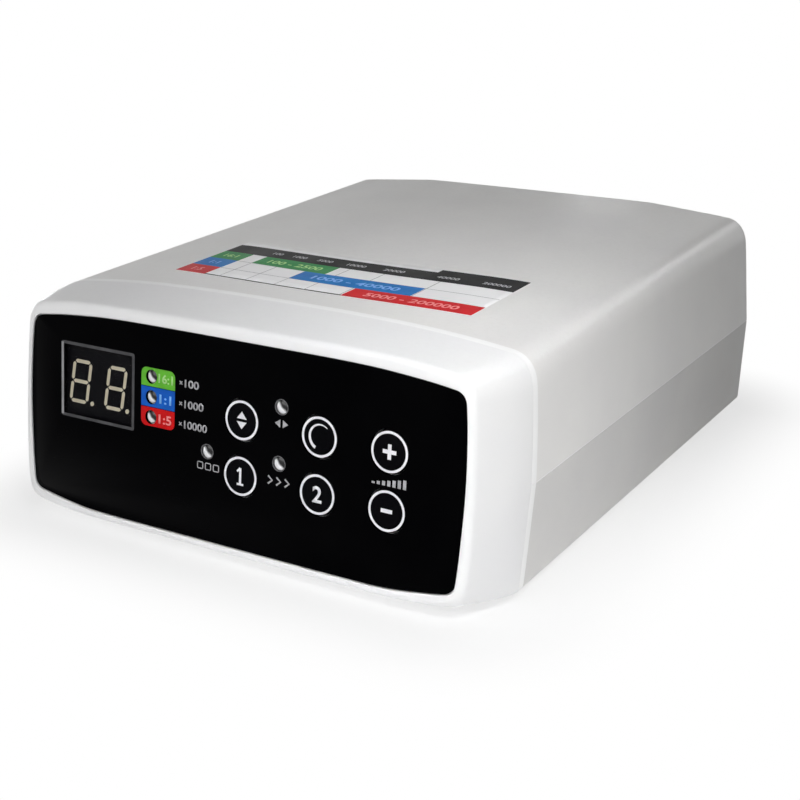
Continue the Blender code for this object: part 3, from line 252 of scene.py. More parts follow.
# Rear plate and what it carries
rear_inset = 1.5 * MM
rear_thickness = 2.0 * MM
vent_count = 9
vent_width = 2.4 * MM
vent_height = 14.0 * MM
vent_pitch = 5.6 * MM
vent_up = 55.0 * MM
rocker_place = (-60.0 * MM, 36.0 * MM)
rocker_hole = (6.8 * MM, 10.5 * MM)
rocker_swing = math.radians(8.0)
rocker_pivot_out = 0.9 * MM
rocker_dish = 1.0 * MM
rocker_half_height = 7.6 * MM
rocker_sign_up = 4.2 * MM
rocker_sign_out = 3.353 * MM
rocker_sign = 1.4 * MM
rocker_stroke = 1.5 * fine_stroke
jack_place = (-36.0 * MM, 20.0 * MM)
socket_place = (4.0 * MM, 26.0 * MM)
inlet_place = (60.0 * MM, 24.0 * MM)
outlet_place = (44.0 * MM, 24.0 * MM)
jack_radius = 4.2 * MM
jack_flange = 6.2 * MM
jack_bore = 3.1 * MM
jack_pin = 1.1 * MM
jack_front = 2.1 * MM
jack_floor = -6.9 * MM
jack_pin_tip = 0.6 * MM
jack_back = -14.0 * MM
socket_radius = 8.6 * MM
socket_flange = 12.5 * MM
socket_flange_front = 2.3 * MM
socket_sleeve = 9.6 * MM
socket_bore = 7.4 * MM
socket_front = 8.3 * MM
socket_floor = 1.8 * MM
socket_back = -18.0 * MM
contact_ring = 4.6 * MM
contact_radius = 0.8 * MM
contact_count = 4
contact_reach = 4.0 * MM
fitting_thread = 3.4 * MM
fitting_flange = 5.6 * MM
fitting_sides = 6
fitting_flange_front = 3.3 * MM
fitting_stem = 2.1 * MM
fitting_barb = 0.6 * MM
fitting_barb_length = 2.6 * MM
fitting_bore = 1.1 * MM
fitting_tip = 13.5 * MM
fitting_thread_end = -5.0 * MM
fitting_tail = -11.0 * MM

# Floor, room, lamps and camera
floor_reach = 12.0
floor_drop = 0.05 * MM
floor_shade_half = (0.07, 0.09, 0)
floor_fade = 0.06
floor_white = 0.5
floor_patch = 60 * MM
floor_tones = ((0.86, 0.86, 0.86, 1), (0.84, 0.84, 0.84, 1))
floor_roughness = 0.9
ambient = 0.08
room_lamps = (
    ("side_lamp", (0.28, -0.12, 0.33), (0.07, -0.06, 0.05), (0.14, 0.14), 0.08, 180),
    ("top_lamp", (0.12, -0.12, 0.34), (0.06, -0.09, 0.06), (0.2, 0.2), 0.065, 180),
    ("shoulder_lamp", (0.34, -0.30, 0.42), (0.08, -0.09, 0.05), (0.12, 0.12), 0.059, 30),
    ("corner_lamp", (0.30, -0.40, 0.16), (0.06, -0.11, 0.03), (0.12, 0.12), 0.011, 40),
    ("front_lamp", (-0.15, -0.60, 0.25), (0.0, -0.1, 0.04), (0.4, 0.4), 1.5, 180),
    ("gleam_lamp", (0.28, 1.03, 0.53), (0.08, 0.0, 0.06), (0.4, 0.4), 0.26, 60),
    ("back_lamp", (0.0, 0.55, 0.07), (0.0, 0.1, 0.04), (0.4, 0.1), 0.9, 180),
    ("left_lamp", (-0.5, 0.10, 0.045), (-0.09, 0.0, 0.03), (0.3, 0.05), 0.6, 180))
under_lamp = ("under_lamp", (0.0, 0.0, -0.5), (0.0, 0.0, 0.0), (0.12, 0.16), 0.7, 180)
camera_place = (0.25366, -0.418693, 0.19516)
camera_turn = math.radians(31.71)
camera_tip = math.radians(19.88)
camera_roll = math.radians(-0.95)
camera_lens = 65.31
camera_sensor = 36.0
camera_near = 0.01

# Outlines from the middle of the floor to the middle of the roof, as shares of half width and height
seam_belt_share = belt_share * case_height / seam_height
rear_outline_shares = (
    (0, 0), (0.672, 0), (0.896, 0), (0.964, 0), (0.982, 0), (0.983, 0.022), (0.989, 0.164),
    (1, belt_share), (0.987, 0.649), (0.975, 0.845), (0.961, 0.953), (0.885, 0.963),
    (0.739, 0.9785), (0.566, 0.996), (0.521, 1), (0, 1))
seam_outline_shares = (
    (0, 0), (0.672, 0), (0.896, 0), (0.964, 0), (0.982, 0), (0.983, 0.022), (0.989, 0.164),
    (1, seam_belt_share), (0.993, 0.640), (0.981, 0.814), (0.973, 0.947), (0.868, 0.953),
    (0.739, 0.971), (0.560, 0.987), (0.336, 0.9965), (0, 1))
rim_outline_shares = (
    (0, 0), (0.657, 0), (0.803, 0.011), (0.912, 0.027), (0.984, 0.037), (0.988, 0.111),
    (0.996, 0.197), (1, 0.414), (0.994, 0.686), (0.985, 0.854), (0.985, 0.963),
    (0.882, 0.973), (0.803, 0.984), (0.693, 0.995), (0.535, 1), (0, 1))
panel_outline_shares = (
    (0, 0), (0.626, 0), (0.751, 0.0095), (0.932, 0.044), (0.979, 0.052), (0.982, 0.103),
    (0.991, 0.253), (1, 0.522), (0.994, 0.759), (0.984, 0.889), (0.981, 0.957),
    (0.929, 0.960), (0.851, 0.973), (0.751, 0.984), (0.563, 1), (0, 1))

# Steps of curves, angles that count as sharp, and the weight of numerals
low_corner_steps = 3
shoulder_steps = 6
ease_steps = 4
belt_crease = 0.08
belt_mark = low_corner_steps + 5
fine_steps = 96
round_steps = 64
sharp_angle = math.radians(38)
carried_sharp_angle = math.radians(32)
bevel_angle = math.radians(40)
even_light_weight = 60
numeral_weight = 0.022
numeral_curve_steps = 4

# Shared effects: sizes and stretches of their noise, and the spans of its values that they spread out
noise_roughness = 0.55
grain_span = (0.35, 0.68)
tone_span = (0.3, 0.7)
edge_span = (0.505, 0.57)
wear_patch = 2.5 * MM
wear_span = (0.3, 0.62, 0.35, 1.0)
dust_speck = 1.4 * MM
speck_span = (0.42, 0.75)
upward_span = (0.1, 1.0)
wiped_stretch = (1.0, 0.6, 1.6)
wiped_span = (0.32, 0.68)
streak_stretch = (0.08, 1.0, 0.08)

# Heights and depths that follow
belt_height = belt_share * case_height
floor_z = foot_height + clearance
belt_z = floor_z + belt_height
front_y = -(case_length + rear_reach) / 2
rear_y = front_y + case_length
face_y = front_y + (rim_drop - rim_round) * math.sin(face_tilt)
face_z = floor_z + rim_lift + rim_drop * math.cos(face_tilt)
panel_front = -panel_sink
panel_back = panel_front - panel_thickness
wall_front = panel_back - clearance
wall_back = wall_front - front_wall
window_back = panel_front - window_thickness
module_front = window_back - clearance
rear_outer_y = rear_y - rear_inset
key_hole_radius = key_radius + clearance

to_face = (Matrix.Translation((0, face_y, face_z))
           @ Matrix.Rotation(math.pi / 2 - face_tilt, 4, "X"))
to_rear = Matrix.Rotation(-math.pi / 2, 4, "X")


# Outlines

def quarter(steps, first=0):
    """Sine and cosine at even steps of a quarter turn."""
    angles = [math.pi / 2 * step / steps for step in range(first, steps + 1)]
    return [(math.sin(angle), math.cos(angle)) for angle in angles]


def circle_path(centre, radius, start=0.0, end=math.tau, steps=fine_steps):
    """Points along an arc."""
    return [(centre[0] + radius * math.cos(start + (end - start) * step / steps),
             centre[1] + radius * math.sin(start + (end - start) * step / steps))
            for step in range(steps + 1)]


def corner(start, middle, end, steps):
    """A smooth corner from start to end that leans towards middle."""
    return [tuple((1 - t) ** 2 * a + 2 * t * (1 - t) * b + t * t * c for a, b, c in zip(start, middle, end))
            for t in (step / steps for step in range(steps + 1))]


def outline_marks(shares, half_width, height):
    """Marks of a symmetric closed outline, anticlockwise from the middle of its floor."""
    marks = [(across * half_width, up * height) for across, up in shares]
    half = (marks[:3] + corner(*marks[3:6], low_corner_steps) + marks[6:9]
            + corner(*marks[9:12], shoulder_steps) + marks[12:])
    return half + [(-across, up) for across, up in half[-2:0:-1]]


def eased(marks, closed=True, belt_ease=0.5):
    """Round every mark of a line off between the middles of its spans; belt marks have their own share."""
    points = []
    count = len(marks)
    for index, mark in enumerate(marks):
        if not closed and index in (0, count - 1):
            points.append(mark)
            continue
        before, after = marks[index - 1], marks[(index + 1) % count]
        reach = belt_ease if closed and index in (belt_mark, count - belt_mark) else 0.5
        start = tuple(b + (a - b) * reach for a, b in zip(before, mark))
        end = tuple(a + (b - a) * reach for a, b in zip(mark, after))
        points += corner(start, mark, end, ease_steps)[:-1]
    return points


def shrink(ring, amount):
    """Draw an outline in by the same amount at its sides, floor and top."""
    half_width = max(across for across, up in ring)
    low = min(up for across, up in ring)
    half_height = (max(up for across, up in ring) - low) / 2
    middle = low + half_height
    wide = 1 - amount / half_width
    tall = 1 - amount / half_height
    return [(across * wide, middle + (up - middle) * tall) for across, up in ring]


def seam_y(z, depth=bezel_depth):
    """Where the plane at a depth behind the sloping face crosses a height."""
    return face_y + depth / math.cos(face_tilt) + (z - face_z) * math.tan(face_tilt)


seam_marks = outline_marks(seam_outline_shares, case_half_width, seam_height)
rear_marks = outline_marks(rear_outline_shares, case_half_width, case_height)
rim_marks = outline_marks(rim_outline_shares, rim_half_width, rim_height)
panel_marks = outline_marks(panel_outline_shares, panel_half_width, panel_height)
top_mark = len(seam_marks) - belt_mark


def rim_ring(depth, inset=0.0):
    """The bezel's outer outline at a depth behind its front, in the face's own plane."""
    drop = bezel_depth * math.sin(face_tilt)
    seam = [(across, (floor_z + up - face_z + drop) / math.cos(face_tilt)) for across, up in seam_marks]
    share = min(depth / bezel_depth, 1)
    swell = 1 - (1 - share) ** bezel_swell
    marks = [(a[0] + (b[0] - a[0]) * swell, a[1] - rim_drop + (b[1] - a[1] + rim_drop) * share)
             for a, b in zip(shrink(rim_marks, inset), seam)]
    return eased(marks, True, 0.5 + (belt_crease - 0.5) * share)


def panel_ring(grow=0.0):
    """The panel's outline in the face's own plane."""
    return eased(shrink(panel_marks, -grow))


def flat(ring, w):
    """Give an outline its place along the face's outward normal."""
    return [(across, up, w) for across, up in ring]


def belt_to_belt(marks, edge):
    """Outside line of a shell that starts and ends at its edge by the belt line."""
    marks[0], marks[-1] = (marks[0][0], edge), (marks[-1][0], edge)
    return eased(marks, False)


def upper_path(marks):
    """Line of the top cover's outside, over the roof."""
    return belt_to_belt(marks[belt_mark:top_mark + 1], belt_height + clearance / 2)


def lower_path(marks):
    """Line of the bottom case's outside, under the floor."""
    return belt_to_belt(marks[top_mark:] + marks[:belt_mark + 1], belt_height - clearance / 2)


def height_over(x, path):
    """Height of a roof line over a place across the case."""
    reach = abs(x)
    for near, far in zip(path, path[1:]):
        if far[0] <= reach <= near[0]:
            share = (near[0] - reach) / max(near[0] - far[0], 1e-9)
            return near[1] + share * (far[1] - near[1])
    return path[-1][1]


seam_roof, rear_roof = (path[:len(path) // 2 + 1] for path in map(upper_path, (seam_marks, rear_marks)))


def roof_z(x, y):
    """Height of the outside of the roof."""
    front = height_over(x, seam_roof)
    back = height_over(x, rear_roof)
    start = seam_y(floor_z + front)
    return floor_z + front + (back - front) * (y - start) / (rear_y - start)


# Mesh work

def new_piece(name, shape, surfaces, body):
    """Make an object of a bmesh, with its finishes, and let it ride on a body."""
    mesh = bpy.data.meshes.new(name)
    shape.to_mesh(mesh)
    shape.free()
    for surface in surfaces.split():
        mesh.materials.append(looks[surface])
    piece = bpy.data.objects.new(name, mesh)
    bpy.context.scene.collection.objects.link(piece)
    if body:
        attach(piece, body)
    return piece


def soften(mesh):
    """Shade a mesh smooth, except over its sharp edges."""
    mesh.shade_smooth()
    mesh.set_sharp_from_angle(angle=sharp_angle)


def piece_from(name, build, surfaces, place=None, body="case"):
    """Make one piece from a function that fills a bmesh, and put it in its place."""
    shape = bmesh.new()
    build(shape)
    bmesh.ops.recalc_face_normals(shape, faces=shape.faces)
    if place:
        shape.transform(place)
    piece = new_piece(name, shape, surfaces, body)
    soften(piece.data)
    return piece


def cut_away(piece, build, place=None):
    """Cut a helper shape out of a piece."""
    tool = piece_from(piece.name + "_cutter", build, "", place, None)
    change = piece.modifiers.new("cut", "BOOLEAN")
    change.operation, change.solver, change.object = "DIFFERENCE", "EXACT", tool
    bpy.context.view_layer.update()
    ready = piece.evaluated_get(bpy.context.evaluated_depsgraph_get())
    mesh = bpy.data.meshes.new_from_object(ready)
    piece.modifiers.clear()
    piece.data = mesh
    mesh.name = piece.name
    soften(mesh)
    bpy.data.objects.remove(tool, do_unlink=True)


def bevel_edges(piece, width, segments):
    """Ease the sharp edges of a piece."""
    bevel = piece.modifiers.new("eased edges", "BEVEL")
    bevel.width, bevel.segments = width, segments
    bevel.limit_method, bevel.angle_limit = "ANGLE", bevel_angle
    return bevel


def round_edges(piece, width, segments=3):
    """Ease the sharp edges of a piece, and keep its wide faces flat in the light."""
    bevel_edges(piece, width, segments).miter_outer = "MITER_ARC"
    even = piece.modifiers.new("even light", "WEIGHTED_NORMAL")
    even.keep_sharp = False
    even.weight = even_light_weight


def thicken(piece, thickness, offset):
    """Give a sheet its thickness, out of its face or into it."""
    body = piece.modifiers.new("sheet body", "SOLIDIFY")
    body.thickness, body.offset = thickness, offset


def loft(shape, rings, endless=False):
    """Skin a row of rings of equal point counts, with caps at its ends or closed on itself."""
    rows = [[shape.verts.new(point) for point in ring] for ring in rings]
    for near, far in zip(rows, rows[1:] + rows[:endless]):
        for index in range(len(near)):
            following = (index + 1) % len(near)
            shape.faces.new((near[index], near[following], far[following], far[index]))
    if not endless:
        shape.faces.new(rows[0][::-1])
        shape.faces.new(rows[-1])


def turn(shape, profile, steps, centre=(0, 0), endless=False):
    """Turn a profile of (radius, height) pairs about the upright axis through centre."""
    rows = []
    for radius, height in profile:
        around = circle_path(centre, radius, steps=steps)[:-1] if radius else [centre]
        rows.append([shape.verts.new((x, y, height)) for x, y in around])
    for near, far in zip(rows, rows[1:] + rows[:endless]):
        for step in range(steps):
            following = (step + 1) % steps
            corners = (near[step % len(near)], near[following % len(near)],
                       far[following % len(far)], far[step % len(far)])
            shape.faces.new(tuple(dict.fromkeys(corners)))


def turned(name, profile, surface, place, steps=round_steps, endless=False, body="case"):
    """A turned piece about the +Z axis of its place."""
    return piece_from(name, lambda shape: turn(shape, profile, steps, endless=endless), surface,
                      place, body)


def disc(shape, centre, radius, low, high, steps=round_steps):
    """A plain round bar along Z."""
    turn(shape, ((0, low), (radius, low), (radius, high), (0, high)), steps, centre)


def rounded_box_ring(low, high, radius, steps=6):
    """A rectangle with round corners, anticlockwise."""
    ring = []
    corners = ((high[0] - radius, high[1] - radius), (low[0] + radius, high[1] - radius),
               (low[0] + radius, low[1] + radius), (high[0] - radius, low[1] + radius))
    for number, (across, up) in enumerate(corners):
        for step in range(steps + 1):
            angle = math.pi / 2 * (number + step / steps)
            ring.append((across + radius * math.cos(angle), up + radius * math.sin(angle)))
    return ring


def box_ring(centre, half, radius, steps=6):
    """A rectangle with round corners round its centre."""
    (u, v), (wide, tall) = centre, half
    return rounded_box_ring((u - wide, v - tall), (u + wide, v + tall), radius, steps)


def plate(shape, ring, low, high):
    """A flat plate with a given outline."""
    loft(shape, [flat(ring, low), flat(ring, high)])


# Line work for prints

def stroke(shape, path, width, closed=False, lift=0.0, taper=None):
    """A flat line of a given width along a path."""
    count = len(path)
    left = []
    right = []
    for index, point in enumerate(path):
        before = path[index - 1] if closed or index else point
        after = path[(index + 1) % count] if closed or index < count - 1 else point
        along = Vector((after[0] - before[0], after[1] - before[1])).normalized()
        share = taper(index / (count - 1)) if taper else 1
        side = Vector((-along.y, along.x)) * width / 2 * share
        left.append(shape.verts.new((point[0] + side.x, point[1] + side.y, lift)))
        right.append(shape.verts.new((point[0] - side.x, point[1] - side.y, lift)))
    for index in range(count if closed else count - 1):
        following = (index + 1) % count
        shape.faces.new((right[index], right[following], left[following], left[index]))


def patch(shape, ring):
    """A flat filled outline."""
    shape.faces.new([shape.verts.new((across, up, 0)) for across, up in ring])


def holed_patch(shape, ring, hole):
    """A flat filled outline with one hole."""
    loops = [[Vector((x, y, 0)) for x, y in line] for line in (ring, hole)]
    corners = [shape.verts.new(point) for loop in loops for point in loop]
    for triangle in tessellate_polygon(loops):
        shape.faces.new([corners[number] for number in triangle])


def numbers(shape, characters, centre, height, width=None, lift=0.0):
    """Plain numerals, centred on a place and scaled to a height and, if given, a width."""
    letters = bpy.data.curves.new("numerals", "FONT")
    letters.body = characters
    letters.resolution_u = numeral_curve_steps
    letters.offset = numeral_weight
    carrier = bpy.data.objects.new("numerals", letters)
    bpy.context.scene.collection.objects.link(carrier)
    bpy.context.view_layer.update()
    mesh = bpy.data.meshes.new_from_object(
        carrier.evaluated_get(bpy.context.evaluated_depsgraph_get()))
    xs = [vertex.co.x for vertex in mesh.vertices]
    ys = [vertex.co.y for vertex in mesh.vertices]
    tall = height / (max(ys) - min(ys))
    wide = width / (max(xs) - min(xs)) if width else tall
    middle = ((max(xs) + min(xs)) / 2, (max(ys) + min(ys)) / 2)
    for vertex in mesh.vertices:
        vertex.co = (centre[0] + (vertex.co.x - middle[0]) * wide,
                     centre[1] + (vertex.co.y - middle[1]) * tall, lift)
    shape.from_mesh(mesh)
    bpy.data.objects.remove(carrier, do_unlink=True)
    bpy.data.curves.remove(letters)
    bpy.data.meshes.remove(mesh)


def inked(shape, number, draw, *sizes, **more):
    """Draw something with one of a print's inks."""
    before = set(shape.faces)
    draw(shape, *sizes, **more)
    for face in shape.faces:
        if face not in before:
            face.material_index = number


def print_piece(name, draw, inks, place=to_face, base=panel_front, body="case"):
    """A print: flat shapes laid a hair above a surface, with a hair of thickness."""
    shape = bmesh.new()
    draw(shape)
    bmesh.ops.triangulate(shape, faces=[face for face in shape.faces if len(face.verts) > 4])
    shape.normal_update()
    for face in shape.faces:
        if face.normal.z < 0:
            face.normal_flip()
    for vertex in shape.verts:
        vertex.co.z += base
    shape.transform(place)
    thicken(new_piece(name, shape, inks, body), ink_lift, 1)


# Finishes

def shade(red, green, blue):
    """Colour from 0-255 screen values."""
    shares = [value / 255 for value in (red, green, blue)]
    return tuple(share / 12.92 if share <= 0.04045 else ((share + 0.055) / 1.055) ** 2.4
                 for share in shares) + (1,)


def feed(tree, node, sources):
    """Link or set the inputs of a node, by their labels or numbers."""
    for label, source in sources.items():
        if isinstance(source, bpy.types.NodeSocket):
            tree.links.new(source, node.inputs[label])
        else:
            node.inputs[label].default_value = source
    return node


def add(tree, kind, sources=None, **settings):
    """Add a node with its settings and its inputs, and give its outputs."""
    new = tree.nodes.new(kind)
    for label, value in settings.items():
        setattr(new, label, value)
    return feed(tree, new, sources or {}).outputs


def mixed(tree, factor, first, second):
    """Mix two colours by a factor."""
    return add(tree, "ShaderNodeMix", {0: factor, 6: first, 7: second}, data_type="RGBA")[2]


def stepped(tree, value, low, high, start=0.0, end=1.0):
    """Spread a value from one range to another, smoothly."""
    return add(tree, "ShaderNodeMapRange", {"Value": value, "From Min": low, "From Max": high,
                                            "To Min": start, "To Max": end},
               interpolation_type="SMOOTHSTEP")["Result"]


def times(tree, first, second):
    """Multiply two values."""
    return add(tree, "ShaderNodeMath", {0: first, 1: second}, operation="MULTIPLY")[0]


def cloud(tree, size, detail=3.0, stretch=(1, 1, 1)):
    """Noise whose features have a size in metres."""
    place = add(tree, "ShaderNodeTexCoord")["Object"]
    place = add(tree, "ShaderNodeVectorMath", {0: place, 1: stretch}, operation="MULTIPLY")[0]
    count = add(tree, "ShaderNodeMath", {0: 1.0, 1: size}, operation="DIVIDE")[0]
    return add(tree, "ShaderNodeTexNoise", {"Vector": place, "Scale": count, "Detail": detail,
                                            "Roughness": noise_roughness})["Fac"]


def shared_effect(name, given, make):
    """Shader group with named inputs, and the named outputs that a function makes of them."""
    group = bpy.data.node_groups.new(name, "ShaderNodeTree")
    for label, value in given.items():
        kind = "NodeSocketColor" if isinstance(value, tuple) else "NodeSocketFloat"
        group.interface.new_socket(name=label, in_out="INPUT", socket_type=kind).default_value = value
    results = make(group, group.nodes.new("NodeGroupInput").outputs)
    for label in results:
        kind = "NodeSocketColor" if label == "Colour" else "NodeSocketFloat"
        group.interface.new_socket(name=label, in_out="OUTPUT", socket_type=kind)
    feed(group, group.nodes.new("NodeGroupOutput"), results)
    return group


def moulded_grain(tree, given):
    """Fine spark-eroded grain of a moulding, and the slow change of tone across it."""
    return {"Height": stepped(tree, cloud(tree, given["Grain Size"], detail=2.0), *grain_span),
            "Tone": stepped(tree, cloud(tree, given["Patch Size"], detail=4.0), *tone_span)}


def edge_wear(tree, given):
    """Edges polished a little lighter by handling."""
    edge = stepped(tree, add(tree, "ShaderNodeNewGeometry")["Pointiness"], *edge_span)
    broken = times(tree, edge, stepped(tree, cloud(tree, wear_patch, detail=4.0), *wear_span))
    return {"Colour": mixed(tree, times(tree, broken, given["Amount"]), given["Surface"], given["Worn"])}


def settled_dust(tree, given):
    """A thin veil of dust on what faces up."""
    facing = add(tree, "ShaderNodeSeparateXYZ", {0: add(tree, "ShaderNodeNewGeometry")["Normal"]})
    specks = stepped(tree, cloud(tree, dust_speck, detail=5.0), *speck_span)
    veil = times(tree, stepped(tree, facing["Z"], *upward_span), specks)
    return {"Colour": mixed(tree, times(tree, veil, given["Amount"]), given["Surface"], given["Dust"])}


def handling_marks(tree, given):
    """Roughness that wanders between two values where hands have wiped a surface."""
    wiped = cloud(tree, given["Size"], detail=6.0, stretch=wiped_stretch)
    return {"Roughness": stepped(tree, wiped, *wiped_span, given["Smooth"], given["Rough"])}


def drawn_streaks(tree, given):
    """Fine parallel streaks left on metal by turning or drawing."""
    streaks = cloud(tree, given["Streak Size"], stretch=streak_stretch)
    return {"Height": streaks, "Tone": stepped(tree, streaks, *tone_span)}


white = (1, 1, 1, 1)
effects = {make.__name__: shared_effect(make.__name__, given, make) for make, given in (
    (moulded_grain, {"Grain Size": 0.4 * MM, "Patch Size": 30 * MM}),
    (edge_wear, {"Surface": white, "Worn": white, "Amount": 0.3}),
    (settled_dust, {"Surface": white, "Dust": (0.5, 0.48, 0.45, 1), "Amount": 0.05}),
    (handling_marks, {"Smooth": 0.2, "Rough": 0.35, "Size": 18 * MM}),
    (drawn_streaks, {"Streak Size": 0.3 * MM}))}


def finish(name, colour, second, roughness, sizes, wear, dust, specular):
    """A moulded, printed or metal finish with its grain, tone, wear, dust and handling marks."""
    surface = bpy.data.materials.new(name)
    surface.use_nodes = True
    tree = surface.node_tree

    def effect(label, sources):
        return add(tree, "ShaderNodeGroup", sources, node_tree=effects[label])

    grain, depth, patches = sizes
    worn, amount = wear or (colour, 0)
    if patches:
        texture = effect("moulded_grain", {"Grain Size": grain * MM, "Patch Size": patches * MM})
    else:
        texture = effect("drawn_streaks", {"Streak Size": grain * MM})
    tone = mixed(tree, texture["Tone"], shade(*colour), shade(*second))
    edges = effect("edge_wear", {"Surface": tone, "Worn": shade(*worn), "Amount": amount})
    dusty = effect("settled_dust", {"Surface": edges["Colour"], "Amount": dust})
    marks = effect("handling_marks", {"Smooth": roughness[0], "Rough": roughness[1]})
    bump = add(tree, "ShaderNodeBump", {"Distance": depth * MM, "Height": texture["Height"]})
    feed(tree, tree.nodes["Principled BSDF"], {
        "Normal": bump["Normal"], "Base Color": dusty["Colour"], "Roughness": marks["Roughness"],
        "Metallic": 0.0 if patches else 1.0, "Specular IOR Level": specular})
    return surface


# Finishes: colour, second tone, roughness from and to, then in mm the size and the depth of the grain and
# the size of the patches of tone (metal has none), colour and amount of wear at edges, dust, specular
field_ink = ((0.3, 0.42), (0.3, 0.003, 4), None, 0.02, 0.12)
plain_ink = ((0.35, 0.5), (0.4, 0.01, 30), None, 0.05, 0.1)
frame_ink = ((0.35, 0.5), (0.2, 0.003, 6), None, 0.01, 0.1)
chart_ink = ((0.3, 0.42), (0.3, 0.003, 6), None, 0.01, 0.02)
finishes = {
    "shell_plastic": ((240, 239, 237), (235, 234, 233), (0.3, 0.36), (0.35, 0.012, 45),
                      ((240, 240, 239), 0.5), 0.06, 0.1),
    # The cover's white plastic painted darker: painted shade on the lower shell and its bosses
    "base_plastic": ((226, 225, 223), (221, 220, 219), (0.36, 0.46), (0.35, 0.012, 45),
                     ((226, 226, 225), 0.5), 0.06, 0.03),
    "bezel_plastic": ((247, 247, 247), (245, 245, 246), (0.3, 0.36), (0.6, 0.003, 40), None, 0.03, 0.05),
    # Painted highlight: whiter, glossier plastic on the shells' rounded front edges and on the belt tongue,
    # so the seam and the belt read as bright lines
    "seam_white": ((253, 253, 253), (250, 250, 250), (0.3, 0.36), (0.6, 0.003, 40), None, 0.02, 0.35),
    "panel_gloss": ((1, 1, 2), (3, 3, 4), (0.05, 0.1), (2.0, 0.001, 30), None, 0.001, 0.01),
    "key_gloss": ((4, 4, 6), (9, 9, 12), (0.1, 0.18), (0.5, 0.002, 30), None, 0.001, 0.015),
    "window_smoke": ((12, 12, 14), (12, 12, 14), (0.04, 0.09), (3, 0.002, 30), None, 0.02, 0.04),
    "display_face": ((10, 10, 14), (16, 15, 19), (0.35, 0.5), (0.5, 0.004, 4), None, 0, 0.04),
    "digit_pale": ((250, 241, 214), (240, 230, 200), (0.4, 0.5), (0.5, 0.002, 3), None, 0, 0.5),
    "lens_clear": ((5, 5, 6), (14, 14, 16), (0.06, 0.12), (1.0, 0.002, 30), None, 0.02, 0.35),
    "lamp_seat_grey": ((92, 92, 94), (70, 70, 72), (0.3, 0.4), (0.4, 0.01, 1.5), None, 0, 0.5),
    "ink_white": ((236, 236, 240), (222, 222, 228), (0.35, 0.5), (0.2, 0.003, 2), None, 0.02, 0.5),
    "ink_soft": ((176, 176, 180), (150, 150, 154), (0.35, 0.5), (0.2, 0.003, 1.5), None, 0.02, 0.5),
    "ink_frame": ((84, 84, 86), (62, 62, 64), *frame_ink),
    "ink_frame_bright": ((164, 164, 166), (142, 142, 144), *frame_ink),
    "ink_green": ((104, 188, 56), (92, 176, 48), *field_ink),
    "ink_blue": ((12, 94, 196), (8, 84, 184), *field_ink),
    "ink_red": ((206, 6, 12), (192, 4, 9), *field_ink),
    "tint_green": ((180, 228, 150), (170, 220, 140), *plain_ink),
    "tint_blue": ((130, 190, 250), (120, 180, 244), *plain_ink),
    "tint_red": ((252, 150, 150), (244, 138, 140), *plain_ink),
    "chart_film": ((246, 246, 247), (242, 242, 243), (0.3, 0.4), (0.5, 0.004, 20), None, 0.01, 0.9),
    "chart_black": ((20, 20, 21), (16, 16, 17), *chart_ink),
    "chart_green": ((58, 150, 84), (50, 140, 76), *chart_ink),
    "chart_blue": ((28, 128, 206), (22, 118, 196), *chart_ink),
    "chart_red": ((222, 22, 32), (210, 18, 26), *chart_ink),
    "chart_line": ((168, 168, 170), (150, 150, 152), *plain_ink),
    "rear_plastic": ((204, 203, 201), (202, 201, 200), (0.42, 0.48), (0.45, 0.016, 30),
                     ((208, 208, 206), 0.3), 0.01, 0.15),
    "switch_nylon": ((36, 36, 37), (29, 29, 30), (0.36, 0.5), (0.35, 0.015, 12),
                     ((70, 70, 72), 0.35), 0.05, 0.5),
    "socket_nylon": ((42, 42, 44), (34, 34, 36), (0.28, 0.42), (0.3, 0.01, 12),
                     ((84, 84, 86), 0.35), 0.05, 0.5),
    "nickel_plate": ((214, 210, 202), (196, 192, 184), (0.16, 0.28), (0.25, 0.004, None),
                     ((232, 230, 226), 0.5), 0.05, 0.5),
    "contact_gold": ((226, 190, 112), (208, 170, 92), (0.16, 0.26), (0.25, 0.003, None),
                     ((240, 210, 140), 0.3), 0.05, 0.5),
    "zinc_plate": ((198, 199, 204), (176, 178, 184), (0.26, 0.4), (0.3, 0.006, None),
                   ((224, 224, 228), 0.5), 0.05, 0.5),
    "foot_rubber": ((38, 38, 39), (30, 30, 31), (0.68, 0.85), (0.5, 0.03, 8),
                    ((74, 73, 72), 0.5), 0.3, 0.5),
    "board_green": ((30, 104, 62), (22, 84, 50), (0.3, 0.5), (1.2, 0.02, 6),
                    ((150, 140, 90), 0.3), 0.2, 0.5),
    "ribbon_grey": ((176, 177, 180), (150, 151, 156), (0.4, 0.55), (1.27, 0.1, 10),
                    ((176, 177, 180), 0.3), 0.1, 0.5),
    "sink_aluminium": ((204, 205, 208), (184, 186, 190), (0.3, 0.45), (0.4, 0.01, None),
                       ((226, 226, 228), 0.3), 0.05, 0.5),
    "sleeve_blue": ((44, 66, 128), (34, 52, 108), (0.25, 0.4), (0.6, 0.004, 8),
                    ((44, 66, 128), 0.3), 0.15, 0.5),
    "manifold_grey": ((152, 154, 158), (138, 140, 146), (0.4, 0.55), (0.4, 0.01, 10),
                      ((152, 154, 158), 0.3), 0.1, 0.5),
    "tube_blue": ((120, 168, 216), (104, 152, 204), (0.2, 0.3), (2.0, 0.01, 10),
                  ((120, 168, 216), 0.3), 0.1, 0.5),
    "lead_black": ((34, 34, 34), (26, 26, 26), (0.45, 0.6), (0.5, 0.02, 8),
                   ((34, 34, 34), 0.3), 0.1, 0.5)}
looks = {name: finish(name, *row) for name, row in finishes.items()}


def clear_window():
    """Let the display show through the smoked window."""
    looks["window_smoke"].node_tree.nodes["Principled BSDF"].inputs["Alpha"].default_value = window_alpha


